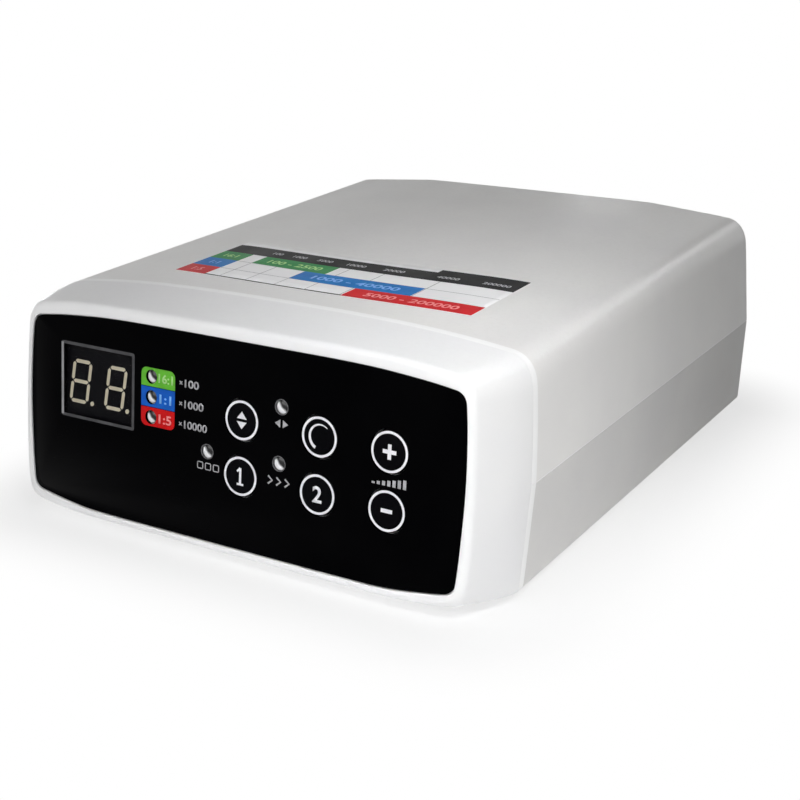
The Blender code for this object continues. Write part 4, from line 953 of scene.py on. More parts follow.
def paint_lens_highlight():
    """Paint a bright crescent into the dark lens: a painted highlight for the light caught by the lamp's
    reflector.
    """
    tree = looks["lens_clear"].node_tree
    shader = tree.nodes["Principled BSDF"]
    under = shader.inputs["Base Color"].links[0].from_socket
    painted_highlight = add(tree, "ShaderNodeAttribute", attribute_name="painted_highlight")["Fac"]
    # Colours of the painted highlight
    bright = mixed(tree, cloud(tree, painted_highlight_grain), shade(232, 233, 236), shade(252, 252, 253))
    feed(tree, shader, {"Base Color": mixed(tree, painted_highlight, under, bright)})


clear_window()
paint_lens_highlight()


# Case

def shell_rings(path_of):
    """Closed sections of a shell, outside and inside, from the slanted seam to the rear edge."""
    sections = []
    for marks in (seam_marks, rear_marks):
        outside = path_of(marks)
        middle = max(up for across, up in marks) / 2
        wide = 1 - wall / case_half_width
        tall = 1 - wall / middle
        inside = [(across * wide, middle + (up - middle) * tall) for across, up in outside]
        for end in (0, -1):
            inside[end] = (inside[end][0], outside[end][1])
        sections.append((outside, inside[::-1]))
    rows = [(0, front_reach * (1 - cosine), front_round * (1 - sine))
            for sine, cosine in quarter(front_steps)]
    rows += [(step / shell_rows, 0, 0) for step in range(1, shell_rows + 1)]
    rings = []
    for share, along, inset in rows:
        ring = []
        for fronts, rears, drawn in zip(*sections, (inset, 0)):
            edge = fronts[0][1]
            reach = max(abs(up - edge) for across, up in fronts)
            for front, rear in zip(fronts, rears):
                across = front[0] * (1 - drawn / case_half_width)
                up = edge + (front[1] - edge) * (1 - drawn / reach)
                near = Vector((across, seam_y(floor_z + up, bezel_depth + clearance) + along, floor_z + up))
                far = Vector((rear[0], rear_y, floor_z + rear[1]))
                ring.append(near.lerp(far, share))
        rings.append(ring)
    return rings


def case_screw_places():
    """Centres of the four screws that hold the shells together."""
    return [(side * case_screw_across, y) for side in (-1, 1)
            for y in (seam_y(floor_z) + case_screw_front, rear_y - case_screw_rear)]


def shell(shape, path_of):
    """A shell, with a painted highlight on the rounded edge next to the bezel."""
    rings = shell_rings(path_of)
    loft(shape, rings)
    shape.faces.ensure_lookup_table()
    # The rows of the rounded front edge take the painted highlight finish
    for face in shape.faces[:front_steps * len(rings[0])]:
        face.material_index = 1


def make_cover():
    """Upper shell: sides from the belt line up, and the arched roof."""
    cover = piece_from("cover_shell", lambda shape: shell(shape, upper_path), "shell_plastic seam_white")
    round_edges(cover, edge_round)
    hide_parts("top_cover")


def make_base():
    """Lower shell with the openings for its screws and feet."""
    base = piece_from("base_shell", lambda shape: shell(shape, lower_path), "base_plastic seam_white")

    def openings(shape):
        for place in case_screw_places():
            disc(shape, place, screw_recess_radius, -wall, floor_z + 2 * wall)
        for number in range(1, foot_count + 1):
            low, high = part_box(f"foot_{number}")
            disc(shape, ((low.x + high.x) / 2, (low.y + high.y) / 2), foot_stem_radius, -wall,
                 floor_z + 2 * wall)

    cut_away(base, openings)
    round_edges(base, edge_round)
    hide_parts("bottom_case")


def make_belt_tongue():
    """Tongue that shows in the groove of the belt line, on both sides, in the painted highlight finish that
    makes the belt read as a bright line.
    """
    section = ((0, -tongue_half), (0, tongue_half), (tongue_thickness, tongue_half),
               (tongue_thickness, -tongue_half))
    outer = case_half_width - belt_groove_depth
    near = seam_y(belt_z, bezel_depth + clearance) + clearance

    def tongue(shape):
        for side in (-1, 1):
            rings = []
            for step in range(shell_rows + 1):
                y = near + (rear_y - edge_round - near) * (step / shell_rows)
                rings.append([(side * (outer - inward), y, belt_z + up) for inward, up in section])
            loft(shape, rings)

    piece_from("belt_tongue", tongue, "seam_white")


def make_screw_bosses():
    """Hollow bosses that the case screws are driven through."""
    low = floor_z + wall
    step_z = belt_z - case_screw_grip
    top = step_z + wall
    profile = ((screw_recess_radius, low), (screw_recess_radius, step_z), (screw_hole_radius, step_z),
               (screw_hole_radius, top), (case_boss_radius, top), (case_boss_radius, low))

    def bosses(shape):
        for place in case_screw_places():
            turn(shape, profile, round_steps // 2, place, True)

    piece_from("screw_bosses", bosses, "base_plastic")


# Bezel and glossy panel

def panel_openings(shape, low, high, grow=0.0):
    """Openings for the keys, the lamps and the display."""
    for u in key_columns:
        for v in key_rows:
            disc(shape, (u, v), key_hole_radius, low, high, fine_steps)
    for places, radius in ((ratio_lamp_places, ratio_lamp_radius),
                           (status_lamp_places, status_lamp_radius)):
        for place in places:
            disc(shape, place, radius + clearance, low, high)
    half = (display_size[0] / 2 + grow, display_size[1] / 2 + grow)
    plate(shape, box_ring(display_place, half, clearance), low, high)


def make_bezel():
    """Bright ring round the panel, with its rounded rim, its swelling sides and its inner lip."""
    web = [flat(panel_ring(-ledge), wall_back), flat(panel_ring(-ledge), wall_front)]
    rings = web + [flat(panel_ring(clearance), wall_front)]
    for sine, cosine in quarter(opening_steps):
        rings.append(flat(panel_ring(clearance + opening_round * (1 - cosine)), opening_round * (sine - 1)))
    for sine, cosine in quarter(rim_steps):
        depth = rim_round * (1 - cosine)
        rings.append(flat(rim_ring(depth, rim_round * (1 - sine)), -depth))
    side_end = bezel_depth - bezel_edge
    for step in range(1, side_rows + 1):
        depth = rim_round + (side_end - rim_round) * step / side_rows
        rings.append(flat(rim_ring(depth), -depth))
    edge = rim_ring(bezel_depth)
    for sine, cosine in quarter(opening_steps, 1):
        rings.append(flat(shrink(edge, bezel_edge * (1 - cosine)), -(side_end + bezel_edge * sine)))
    groove_end = bezel_depth + clearance - ink_lift
    lip_inset = wall + clearance
    lip_end = bezel_depth + bezel_lip_length
    inner = lip_inset + bezel_lip_thickness
    rings += [flat(shrink(edge, inset), -depth) for inset, depth in (
        (groove_depth, bezel_depth), (groove_depth, groove_end), (lip_inset, groove_end),
        (lip_inset, lip_end), (inner, lip_end), (inner, bezel_depth))]
    rings += [flat(shrink(rim_ring(depth), bezel_wall), -depth) for depth in (bezel_depth / 3, -wall_back)]
    bezel = piece_from("bezel_ring", lambda shape: loft(shape, rings, True), "bezel_plastic",
                       to_face)
    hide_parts("front_bezel")
    backing = piece_from("panel_backing", lambda shape: loft(shape, web), "bezel_plastic",
                         to_face)
    cut_away(backing, lambda shape: panel_openings(shape, wall_back - clearance, wall_front + clearance,
                                                   display_border + clearance), to_face)


def make_panel():
    """Glossy black sheet with a fine polished edge."""
    rings = [flat(panel_ring(), panel_back), flat(panel_ring(), panel_front - panel_edge),
             flat(panel_ring(-panel_edge), panel_front)]
    panel = piece_from("glossy_panel", lambda shape: loft(shape, rings), "panel_gloss",
                       to_face)
    cut_away(panel, lambda shape: panel_openings(shape, panel_back - clearance, clearance), to_face)
    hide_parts("front_panel")


# Display and lamps

def segment(shape, start, end):
    """One bar of a seven-segment digit, pointed at both ends."""
    along = (Vector(end) - Vector(start)).normalized()
    side = Vector((-along.y, along.x)) * digit_stroke / 2
    first = Vector(start) + along * segment_gap
    last = Vector(end) - along * segment_gap
    tip = along * digit_stroke / 2
    patch(shape, (first, first + tip - side, last - tip - side, last, last - tip + side,
                  first + tip + side))


def make_digits():
    """Two unlit seven-segment digits with their points, on the face of the display."""
    right = (digit_width - digit_stroke) / 2
    low, middle, high = digit_stroke / 2, digit_height / 2, digit_height - digit_stroke / 2
    bars = [((-right, up), (right, up)) for up in (high, middle, low)]
    bars += [((x, start), (x, end)) for start, end in ((middle, high), (low, middle))
             for x in (-right, right)]

    def draw(shape):
        for u in digit_places:
            before = set(shape.verts)
            for start, end in bars:
                segment(shape, start, end)
            patch(shape, circle_path((right + digit_point_reach, low), digit_point,
                                     steps=digit_point_steps)[:-1])
            for vertex in shape.verts:
                if vertex not in before:
                    x, y, z = vertex.co
                    vertex.co = (u + x + (y - middle) * math.tan(digit_slant), digit_foot + y, z)

    print_piece("display_digits", draw, "digit_pale", base=module_front)


def eased_step(value, low, high):
    """0 below low, 1 above high, and smooth between."""
    share = min(max((value - low) / (high - low), 0), 1)
    return share * share * (3 - 2 * share)


def make_lens(node, place, radius):
    """Domed lens with a painted highlight: a bright crescent at the lower left, for light caught in its
    well.
    """
    top = panel_front - lamp_sink
    shoulder = wall_back - 2 * clearance
    foot = radius + lamp_base
    profile = [(0, top)] + [(radius * sine, top - radius * dome_share * (1 - cosine))
                            for sine, cosine in quarter(dome_steps, 1)]
    profile += [(radius, shoulder), (foot, shoulder), (foot, shoulder - clearance),
                (0, shoulder - clearance)]
    seat = to_face @ Matrix.Translation((*place, 0))
    lens = turned(node.replace("lamp", "lens"), profile, "lens_clear", seat)
    # Share of painted highlight at each point: a crescent at the lower left of the lens
    painted_highlight = lens.data.attributes.new("painted_highlight", "FLOAT", "POINT")
    back = seat.inverted()
    for vertex in lens.data.vertices:
        spot = back @ vertex.co / radius
        hollow = math.hypot(spot.x - highlight_crescent_shift[0], spot.y - highlight_crescent_shift[1])
        lower_left = -(spot.x + spot.y) / math.sqrt(2)
        painted_highlight.data[vertex.index].value = (eased_step(hollow, *highlight_crescent_inner)
                                          * (1 - eased_step(math.hypot(spot.x, spot.y), *highlight_crescent_outer))
                                          * eased_step(lower_left, *highlight_crescent_side))
    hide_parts(node)


def make_lamps():
    """Lenses of the three ratio lamps and the three status lamps."""
    for kind, places, radius in (("ratio_lamp", ratio_lamp_places, ratio_lamp_radius),
                                 ("status_lamp", status_lamp_places, status_lamp_radius)):
        for number, place in enumerate(places, 1):
            make_lens(f"{kind}_{number}", place, radius)


def make_lamp_seats():
    """Grey rings that the status lamps sit in."""
    inner, outer = status_lamp_radius + seat_play, status_lamp_radius + clearance - seat_play
    low, high = panel_front - lamp_sink - clearance, panel_front - seat_play
    profile = ((inner, low), (inner, high), (outer, high), (outer, low))

    def seats(shape):
        for place in status_lamp_places:
            turn(shape, profile, round_steps, place, True)

    piece_from("lamp_seats", seats, "lamp_seat_grey", to_face)


# Keys and their signs

def make_key(node, u, v, sign):
    """Round key with a soft edge, its printed ring and its sign."""
    flange_front = wall_back - clearance
    flange_back = flange_front - key_flange_thickness
    stem_end = flange_back - key_stem_length
    flange_radius = key_radius + key_flange
    profile = [(0, panel_front)] + [
        (key_radius - key_edge * (1 - sine), panel_front - key_edge * (1 - cosine))
        for sine, cosine in quarter(opening_steps)]
    profile += [(key_radius, flange_front), (flange_radius, flange_front), (flange_radius, flange_back),
                (key_stem_radius, flange_back), (key_stem_radius, stem_end), (0, stem_end)]
    place = to_face @ Matrix.Translation((u, v, 0))
    cap = turned(node + "_cap", profile, "key_gloss", place, fine_steps, body=node)
    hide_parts(node)

    def ring_and_sign(shape):
        middle = (key_ring_outer + key_ring_inner) / 2
        stroke(shape, circle_path((0, 0), middle)[:-1], key_ring_outer - key_ring_inner, closed=True)
        sign(shape)

    print_piece(node + "_sign", ring_and_sign, "ink_white", place, body=node)


def one_sign(shape):
    """A plain 1 with its flag and foot."""
    half = sign_height / 2
    stroke(shape, ((0, -half), (0, half)), sign_stroke)
    stroke(shape, ((-one_flag, half - one_flag), (0, half)), one_thin_stroke, lift=ink_lift / 4)
    stroke(shape, ((-one_foot, -half), (one_foot, -half)), one_thin_stroke, lift=ink_lift / 3)


def two_sign(shape):
    """A plain 2."""
    numbers(shape, "2", (0, 0), sign_height)


def plus_sign(shape):
    """A bold plus."""
    stroke(shape, ((-bold_reach, 0), (bold_reach, 0)), bold_stroke)
    for end in (-1, 1):
        stroke(shape, ((0, end * bold_stroke / 2), (0, end * bold_reach)), bold_stroke)


def minus_sign(shape):
    """A bold minus."""
    stroke(shape, ((-minus_reach, 0), (minus_reach, 0)), bold_stroke)


def turning_sign(shape):
    """An open arc that thins as it goes round, for the direction of turning."""
    stroke(shape, circle_path(arc_shift, arc_radius, arc_start, arc_end), arc_stroke,
           taper=lambda share: 1 - arc_thinning * share ** arc_thinning_power)


def choosing_sign(shape):
    """Two arrowheads, up and down, for stepping through the ratios."""
    for side in (-1, 1):
        patch(shape, [(-arrow_half, side * arrow_gap), (arrow_half, side * arrow_gap),
                      (0, side * (arrow_gap + arrow_tall))][::side])


def make_keys():
    """The six keys, column by column."""
    signs = ((("key_ratio", choosing_sign), ("key_memory_1", one_sign)),
             (("key_direction", turning_sign), ("key_memory_2", two_sign)),
             (("key_plus", plus_sign), ("key_minus", minus_sign)))
    for u, column in zip(key_columns, signs):
        for v, (node, sign) in zip(key_rows, column):
            make_key(node, u, v, sign)


# Prints on the panel

def make_ratio_block():
    """Green, blue and red fields with their numerals, open round the lamps."""
    steps = (block_top,) + block_steps_up + (block_bottom,)

    def draw(shape):
        for number, ratio in enumerate(ratios):
            high, low = steps[number] - block_line / 2, steps[number + 1] + block_line / 2
            upper = [(block_right, high), (block_left, high)]
            lower = [(block_left, low), (block_right, low)]
            rounded = rounded_box_ring((block_left, low), (block_right, high), block_corner)
            if number == 0:
                upper = [point for point in rounded if point[1] > low + block_corner + ink_lift]
            if number == 2:
                lower = [point for point in rounded if point[1] < high - block_corner - ink_lift]
            lamp_u, lamp_v = ratio_lamp_places[number]
            hole = circle_path((lamp_u, lamp_v), ratio_lamp_ring, steps=lamp_hole_steps)[:-1]
            inked(shape, number, holed_patch, upper + lower, hole)
            middle = (lamp_u + ratio_lamp_radius + block_right) / 2
            inked(shape, number + 3, numbers, ratio, (middle, lamp_v), ratio_height, ratio_widths[number],
                  ink_lift)

    print_piece("ratio_block", draw, "ink_green ink_blue ink_red tint_green tint_blue tint_red")


def make_multipliers():
    """Multiplier beside each ratio: a cross and plain numerals."""
    def draw(shape):
        for figures, width, (u, v) in zip(multipliers, multiplier_widths, ratio_lamp_places):
            numbers(shape, figures, (multiplier_left + width / 2 + cross_room / 2, v), multiplier_height,
                    width - cross_room)
            for way in (1, -1):
                arm = cross_arm * way
                stroke(shape, ((multiplier_left, v - arm), (multiplier_left + 2 * cross_arm, v + arm)),
                       fine_stroke, lift=ink_lift * (way + 1) / 4)

    print_piece("multiplier_numbers", draw, "ink_soft")


def make_display_line():
    """Line round the display, brighter on its left."""
    wide, tall = ((size + display_line) / 2 for size in display_size)
    u, v = display_place

    def draw(shape):
        inked(shape, 0, stroke, box_ring((u, v), (wide, tall), clearance, 3), display_line - ink_lift, True)
        inked(shape, 1, stroke, ((u - wide, v - tall), (u - wide, v + tall)), display_line - 2 * ink_lift,
              lift=ink_lift)

    print_piece("display_line", draw, "ink_frame ink_frame_bright")


def centred(count, pitch):
    """Places of a row about its middle."""
    return [(index - (count - 1) / 2) * pitch for index in range(count)]


def make_panel_marks():
    """Plain signs under the lamps and between the keys: arrows, chevrons, cells and rising bars."""
    def draw(shape):
        u, v = direction_mark
        for side in (-1, 1):
            near, far = u + side * mark_gap, u + side * (mark_gap + mark_long)
            patch(shape, [(near, v - mark_tall / 2), (near, v + mark_tall / 2), (far, v)][::-side])
        u, v = running_mark
        for x in centred(3, chevron_pitch):
            stroke(shape, ((u + x - chevron_half, v - mark_tall / 2), (u + x + chevron_half, v),
                           (u + x - chevron_half, v + mark_tall / 2)), chevron_stroke)
        u, v = memory_mark
        for x in centred(3, cell_pitch):
            stroke(shape, box_ring((u + x, v), (cell_size / 2, cell_size / 2), clearance, 2), fine_stroke,
                   closed=True)
        u, v = speed_mark
        for index, x in enumerate(centred(speed_bars, speed_pitch)):
            left, right, foot = u + x - speed_bar / 2, u + x + speed_bar / 2, v - speed_tall / 2
            top = foot + speed_tall * (index + 1 + speed_start) / (speed_bars + speed_start)
            patch(shape, [(left, foot), (right, foot), (right, top), (left, top)])

    print_piece("panel_marks", draw, "ink_soft")


# Speed chart

def chart_place(across, back, lift):
    """A place on the chart: metres across the case, and shares from its rear edge forward."""
    middle = seam_y(floor_z + seam_height) + chart_setback
    edge = middle + chart_bow * ((across - chart_shift) / (chart_width / 2)) ** 2
    y = edge + chart_depth * (1 - back)
    return (across, y, roof_z(across, y) + lift)


def chart_patch(shape, left, right, rear, front, lift=chart_ink_lift, rows=2, columns=None):
    """A patch between two places across and two shares back, laid on the arched roof."""
    columns = columns or max(2, int((right - left) / chart_step))
    grid = [[shape.verts.new(chart_place(left + (right - left) * column / columns,
                                         rear + (front - rear) * row / rows, lift))
             for column in range(columns + 1)] for row in range(rows + 1)]
    for near, far in zip(grid, grid[1:]):
        for column in range(columns):
            shape.faces.new((near[column], far[column], far[column + 1], near[column + 1]))


def chart_numbers(shape, characters, across, back, height, width=None):
    """Numerals laid on the chart."""
    flat_shape = bmesh.new()
    numbers(flat_shape, characters, (0, 0), height, width)
    for vertex in flat_shape.verts:
        vertex.co = chart_place(across + vertex.co.x, back - vertex.co.y / chart_depth, chart_words_lift)
    mesh = bpy.data.meshes.new("laid_numerals")
    flat_shape.to_mesh(mesh)
    flat_shape.free()
    shape.from_mesh(mesh)
    bpy.data.meshes.remove(mesh)


def chart_print(name, draw, inks):
    """A print on the chart, with its faces up."""
    piece = piece_from(name, draw, inks)
    for face in piece.data.polygons:
        if face.normal.z < 0:
            face.flip()


def make_chart_film():
    """White film on the roof that carries the chart."""
    film = piece_from("speed_chart_film", lambda shape: chart_patch(
        shape, chart_left, chart_right, film_rear, 1, chart_lift, film_rows, film_columns),
        "chart_film")
    thicken(film, film_thickness, -1)
    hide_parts("speed_chart")


def make_chart_bars():
    """Black scale, a coloured bar and its label for each ratio, and the lines between them."""
    def draw(shape):
        for start, end, back in ((chart_left, header_step, header_back[0]),
                                 (header_step, chart_right, header_tall_back)):
            inked(shape, 0, chart_patch, start, end, back, header_back[1])
        for number, span in enumerate(bar_spans):
            for start, end in (span, (chart_left, label_right)):
                inked(shape, number + 1, chart_patch, start, end, row_back[number], row_back[number + 1])
        for back in row_back[1:3]:
            inked(shape, 4, chart_patch, label_right, chart_right, back - line_back, back + line_back,
                  chart_line_lift)
        inked(shape, 0, chart_patch, chart_left, bar_spans[2][0], 1 - front_line_back, 1, chart_line_lift)
        for x in column_lines:
            inked(shape, 4, chart_patch, x - line_half, x + line_half, row_back[0], 1, chart_line_lift)

    chart_print("speed_chart_bars", draw, "chart_black chart_green chart_blue chart_red chart_line")


def make_chart_numbers():
    """Plain numbers on the scale, the bars and the labels."""
    def draw(shape):
        for x, words in zip(scale_places, scale_numbers):
            inked(shape, 0, chart_numbers, words, x, (header_back[0] + header_back[1]) / 2, scale_height)
        middles = [(rear + front) / 2 for rear, front in zip(row_back, row_back[1:])]
        for ink, (words, (start, end), middle) in enumerate(zip(bar_numbers, bar_spans, middles), 1):
            inked(shape, ink, chart_numbers, words, (start + end) / 2, middle, bar_number_height,
                  (end - start) * bar_number_share)
        for ink, (words, middle) in enumerate(zip(ratios, middles), 1):
            inked(shape, ink, chart_numbers, words, (chart_left + label_right) / 2, middle, label_height)

    chart_print("speed_chart_numbers", draw, "ink_soft tint_green tint_blue tint_red")


# Rear plate and what it carries

def rear_at(x, up):
    """Matrix whose +Z points out of the rear plate at a place on it."""
    return Matrix.Translation((x, rear_outer_y, floor_z + up)) @ to_rear


def make_rear_plate():
    """Plate held between the shells, with its vents and the openings for what it carries."""
    ring = shrink(eased(rear_marks), wall + ink_lift)
    rings = [[(across, y, floor_z + up) for across, up in ring]
             for y in (rear_outer_y - rear_thickness, rear_outer_y)]
    rear = piece_from("rear_plate", lambda shape: loft(shape, rings), "rear_plastic")

    def openings(shape):
        through = (-rear_thickness - wall, wall)
        for x in centred(vent_count, vent_pitch):
            vent = box_ring((x, -vent_up), (vent_width / 2, vent_height / 2), vent_width / 2)
            plate(shape, vent, *through)
        for (x, up), radius in ((jack_place, jack_radius), (socket_place, socket_radius),
                                (inlet_place, fitting_thread), (outlet_place, fitting_thread)):
            disc(shape, (x, -up), radius + clearance, *through)
        x, up = rocker_place
        plate(shape, box_ring((x, -up), rocker_hole, clearance), *through)

    cut_away(rear, openings, rear_at(0, 0))
    round_edges(rear, clearance)
    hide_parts("rear_panel")


def make_jack():
    """Round low-voltage jack with its plated centre pin."""
    soft = clearance
    profile = ((0, jack_floor), (jack_bore, jack_floor), (jack_bore, jack_front - soft),
               (jack_bore + soft, jack_front), (jack_flange - soft, jack_front),
               (jack_flange, jack_front - soft), (jack_flange, clearance), (jack_radius, clearance),
               (jack_radius, jack_back), (0, jack_back))
    jack = turned("jack_body", profile, "socket_nylon", rear_at(*jack_place))
    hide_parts("power_jack")
    pin = ((0, jack_pin_tip), (jack_pin - soft, jack_pin_tip), (jack_pin, jack_pin_tip - soft),
           (jack_pin, jack_floor + ink_lift), (0, jack_floor + ink_lift))
    turned("jack_pin", pin, "nickel_plate", rear_at(*jack_place), round_steps // 2)


def make_socket():
    """Round motor socket with a grip ring and a flange with soft edges."""
    soft = clearance
    flange = socket_flange_front
    profile = ((0, socket_floor), (socket_bore, socket_floor), (socket_bore, socket_front - soft),
               (socket_bore + soft, socket_front), (socket_sleeve - soft, socket_front),
               (socket_sleeve, socket_front - soft), (socket_sleeve, flange), (socket_flange - soft, flange),
               (socket_flange, flange - soft), (socket_flange, clearance), (socket_radius, clearance),
               (socket_radius, socket_back), (0, socket_back))
    socket = turned("socket_body", profile, "socket_nylon", rear_at(*socket_place),
                    fine_steps)
    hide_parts("motor_socket")


def make_socket_contacts():
    """Gilded contacts in the motor socket, one in the middle and four round it."""
    places = [(0, 0)] + circle_path((0, 0), contact_ring, math.pi / 4, math.pi / 4 + math.tau,
                                    contact_count)[:-1]
    base = socket_floor + ink_lift
    tip = base + contact_reach
    profile = ((0, base), (contact_radius, base), (contact_radius, tip - clearance),
               (contact_radius - clearance, tip), (0, tip))

    def contacts(shape):
        for place in places:
            turn(shape, profile, round_steps // 2, place)

    piece_from("socket_contacts", contacts, "contact_gold", rear_at(*socket_place))


def barbs(start, end):
    """Two-barb hose tail between two heights, as (radius, height) pairs."""
    direction = 1 if end > start else -1
    points = [(fitting_stem, start)]
    for index in (2, 1):
        low = end - direction * index * fitting_barb_length
        points += [(fitting_stem, low), (fitting_stem + fitting_barb, low + direction * clearance / 2),
                   (fitting_stem, low + direction * fitting_barb_length)]
    return points


def make_fitting(node, place):
    """Nickel-plated hose fitting: a six-sided flange, barbs at both ends and a bore."""
    stem = ([(fitting_bore, fitting_tip)] + barbs(fitting_flange_front, fitting_tip)[::-1]
            + [(fitting_stem, clearance), (fitting_thread, clearance), (fitting_thread, fitting_thread_end)]
            + barbs(fitting_thread_end, fitting_tail) + [(fitting_bore, fitting_tail)])
    tail = turned(node + "_tail", stem, "nickel_plate", rear_at(*place), endless=True)
    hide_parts(node)
    inner = fitting_stem + clearance / 2
    low, high = clearance + ink_lift, fitting_flange_front
    collar = ((inner, low), (inner, high), (fitting_flange, high), (fitting_flange, low))
    ring = turned(node + "_collar", collar, "nickel_plate", rear_at(*place), fitting_sides, True)
    round_edges(ring, clearance, 2)


def on_sign(shape):
    """A plain upright line."""
    stroke(shape, ((0, -rocker_sign), (0, rocker_sign)), rocker_stroke)


def off_sign(shape):
    """A plain ring."""
    stroke(shape, circle_path((0, 0), rocker_sign, steps=round_steps)[:-1], rocker_stroke, closed=True)


def make_switch_signs():
    """Signs on the two ends of the rocker."""
    x, up = rocker_place
    pivot = (Matrix.Translation((x, rear_outer_y + rocker_pivot_out, floor_z + up))
             @ Matrix.Rotation(-rocker_swing, 4, "X"))
    lean = math.atan2(rocker_dish, rocker_half_height)
    for side, name, sign in ((1, "rocker_on_sign", on_sign), (-1, "rocker_off_sign", off_sign)):
        place = (pivot @ Matrix.Translation((0, rocker_sign_out, side * rocker_sign_up))
                 @ Matrix.Rotation(-side * lean, 4, "X") @ to_rear @ Matrix.Rotation(math.pi, 4, "Z"))
        print_piece(name, sign, "ink_white", place, ink_lift, "rocker")


# Pieces that keep their shape

def soft_shading_group():
    """Modifier group that shades smooth except over sharp edges."""
    tree = bpy.data.node_groups.new("soft_shading", "GeometryNodeTree")
    for way in ("INPUT", "OUTPUT"):
        tree.interface.new_socket(name="Geometry", in_out=way, socket_type="NodeSocketGeometry")
    shape = tree.nodes.new("NodeGroupInput").outputs[0]
    angle = add(tree, "GeometryNodeInputMeshEdgeAngle")["Unsigned Angle"]
    sharp = add(tree, "FunctionNodeCompare", {"A": angle, "B": carried_sharp_angle}, data_type="FLOAT",
                operation="GREATER_THAN")["Result"]
    faces = add(tree, "GeometryNodeSetShadeSmooth", {"Geometry": shape}, domain="FACE")["Geometry"]
    edges = add(tree, "GeometryNodeSetShadeSmooth",
                {"Geometry": faces, "Selection": sharp, "Shade Smooth": False}, domain="EDGE")["Geometry"]
    feed(tree, tree.nodes.new("NodeGroupOutput"), {0: edges})
    return tree


soft_shading = soft_shading_group()


def dress(piece, surface, width):
    """Give a carried-over node its finish, and ease its edges."""
    piece.data.materials.clear()
    piece.data.materials.append(looks[surface])
    piece.modifiers.new("joined corners", "WELD").merge_threshold = ink_lift / 10
    if width:
        bevel_edges(piece, width, 2)
    piece.modifiers.new("soft shading", "NODES").node_group = soft_shading


def dress_the_rest():
    """Finishes of the nodes that keep their shape, found by how their names start."""
    soft = clearance / 2
    carried_over = (
        ("display_board_screw_ main_board_screw_ case_screw_", "zinc_plate", soft),
        ("display_board main_board", "board_green", 0),
        ("ribbon_cable", "ribbon_grey", 0),
        ("display_window", "window_smoke", soft),
        ("display_module", "display_face", soft),
        ("heat_sink", "sink_aluminium", soft),
        ("capacitor_", "sleeve_blue", soft),
        ("switch_rocker", "switch_nylon", clearance),
        ("switch_ air_valve air_sensor", "switch_nylon", soft),
        ("motor_socket_nut", "nickel_plate", soft),
        ("air_manifold", "manifold_grey", soft),
        ("air_tube_", "tube_blue", 0),
        ("motor_lead power_lead", "lead_black", 0),
        ("foot_", "foot_rubber", clearance))
    for node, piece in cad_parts.items():
        for starts, surface, width in carried_over:
            if node.startswith(tuple(starts.split())):
                dress(piece, surface, width)
                break


# Room, lamps and camera

def seen_rays(tree):
    """1 for rays that the camera sees straight, mirrored or through something clear."""
    rays = add(tree, "ShaderNodeLightPath")
    total = rays["Is Camera Ray"]
    for label in ("Is Glossy Ray", "Is Transmission Ray"):
        total = add(tree, "ShaderNodeMath", {0: total, 1: rays[label]}, operation="ADD", use_clamp=True)[0]
    return total


def floor_finish():
    """Pale floor that keeps the unit's shadow, fades into the white round it, and is clear from below."""
    surface = bpy.data.materials.new("pale_floor")
    surface.use_nodes = True
    tree = surface.node_tree
    shader = feed(tree, tree.nodes["Principled BSDF"], {
        "Roughness": floor_roughness, "Specular IOR Level": 0.0,
        "Base Color": mixed(tree, cloud(tree, floor_patch), *floor_tones)})
    beyond = add(tree, "ShaderNodeTexCoord")["Object"]
    nought = (0, 0, 0)
    for operation, amount in (("ABSOLUTE", nought), ("SUBTRACT", floor_shade_half), ("MAXIMUM", nought)):
        beyond = add(tree, "ShaderNodeVectorMath", {0: beyond, 1: amount}, operation=operation)["Vector"]
    away = add(tree, "ShaderNodeVectorMath", {0: beyond}, operation="LENGTH")["Value"]
    fade = times(tree, stepped(tree, away, 0.0, floor_fade, floor_white, 1.0), seen_rays(tree))
    glow = add(tree, "ShaderNodeEmission", {"Strength": 1.0})[0]
    above = add(tree, "ShaderNodeMixShader", {0: fade, 1: shader.outputs[0], 2: glow})[0]
    below = add(tree, "ShaderNodeBsdfTransparent")[0]
    back = add(tree, "ShaderNodeNewGeometry")["Backfacing"]
    both = add(tree, "ShaderNodeMixShader", {0: back, 1: above, 2: below})[0]
    feed(tree, tree.nodes["Material Output"], {"Surface": both})
    return surface


def make_floor():
    """One wide sheet just under the feet."""
    looks["pale_floor"] = floor_finish()
    shape = bmesh.new()
    shape.faces.new([shape.verts.new((side * floor_reach, front * floor_reach, -floor_drop))
                     for side, front in ((-1, -1), (1, -1), (1, 1), (-1, 1))])
    floor = new_piece("pale_floor", shape, "pale_floor", None)
    return floor


def make_world():
    """White round the unit, and a softer even light on it."""
    world = bpy.data.worlds.new("soft_room")
    bpy.context.scene.world = world
    world.use_nodes = True
    tree = world.node_tree
    strength = add(tree, "ShaderNodeMapRange", {"Value": seen_rays(tree), "To Min": ambient, "To Max": 1.0})
    feed(tree, tree.nodes["Background"], {"Color": white, "Strength": strength["Result"]})


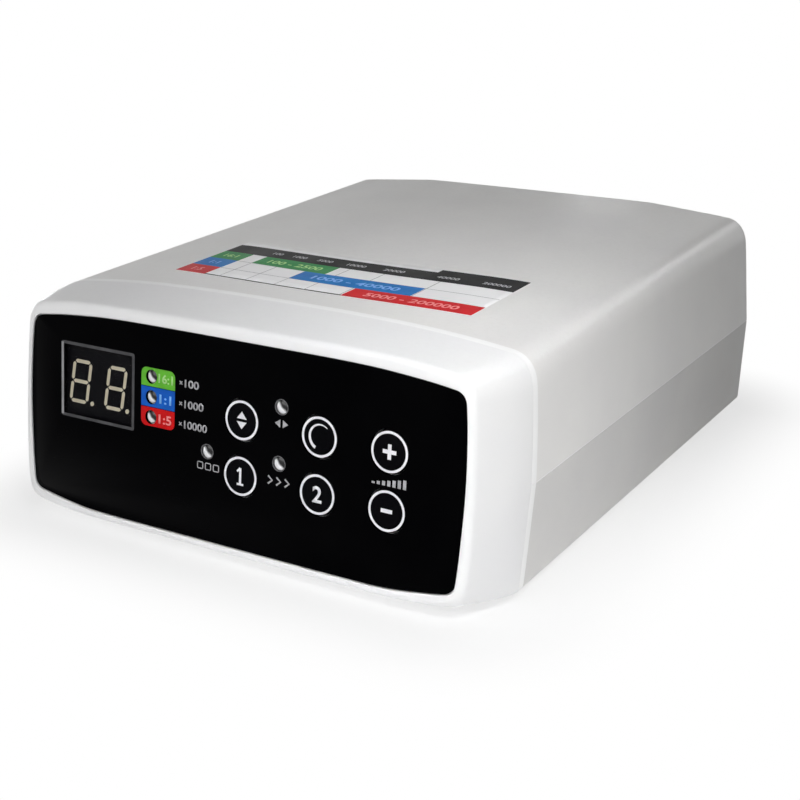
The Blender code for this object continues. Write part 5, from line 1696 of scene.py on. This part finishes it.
def make_room_lamp(name, place, aim, size, power, spread):
    """Soft rectangular lamp aimed at a place."""
    data = bpy.data.lights.new(name, "AREA")
    data.shape = "RECTANGLE"
    data.size, data.size_y = size
    data.energy = power
    data.spread = math.radians(spread)
    lamp = bpy.data.objects.new(name, data)
    bpy.context.scene.collection.objects.link(lamp)
    lamp.location = place
    lamp.rotation_euler = (Vector(aim) - Vector(place)).to_track_quat("-Z", "Y").to_euler()
    return lamp


def shine_through(lamp, floor):
    """Let the lamp under the floor light the base, which is seen from below."""
    passed = bpy.data.collections.new("passed_by_under_lamp")
    passed.objects.link(floor)
    passed.collection_objects[0].light_linking.link_state = "EXCLUDE"
    lamp.light_linking.blocker_collection = passed


def make_camera():
    """Camera in front and to the right, above the unit."""
    data = bpy.data.cameras.new("front_right_camera")
    data.sensor_width = camera_sensor
    data.lens = camera_lens
    data.clip_start = camera_near
    camera = bpy.data.objects.new("front_right_camera", data)
    bpy.context.scene.collection.objects.link(camera)
    level_share = math.cos(camera_tip)
    ahead = Vector((-math.sin(camera_turn) * level_share, math.cos(camera_turn) * level_share,
                    -math.sin(camera_tip)))
    level = Vector((math.cos(camera_turn), math.sin(camera_turn), 0))
    upright = level.cross(ahead)
    right = level * math.cos(camera_roll) + upright * math.sin(camera_roll)
    up = upright * math.cos(camera_roll) - level * math.sin(camera_roll)
    camera.matrix_world = (Matrix.Translation(camera_place)
                           @ Matrix((right, up, -ahead)).transposed().to_4x4())
    bpy.context.scene.camera = camera


make_cover()
make_base()
make_belt_tongue()
make_screw_bosses()
make_bezel()
make_panel()
make_digits()
make_lamps()
make_lamp_seats()
make_keys()
make_ratio_block()
make_multipliers()
make_display_line()
make_panel_marks()
make_chart_film()
make_chart_bars()
make_chart_numbers()
make_rear_plate()
make_jack()
make_socket()
make_socket_contacts()
make_fitting("air_inlet_fitting", inlet_place)
make_fitting("air_outlet_fitting", outlet_place)
make_switch_signs()
dress_the_rest()
pale_floor = make_floor()
make_world()
for room_lamp in room_lamps:
    make_room_lamp(*room_lamp)
shine_through(make_room_lamp(*under_lamp), pale_floor)
make_camera()
bpy.context.scene.view_settings.view_transform = "Standard"
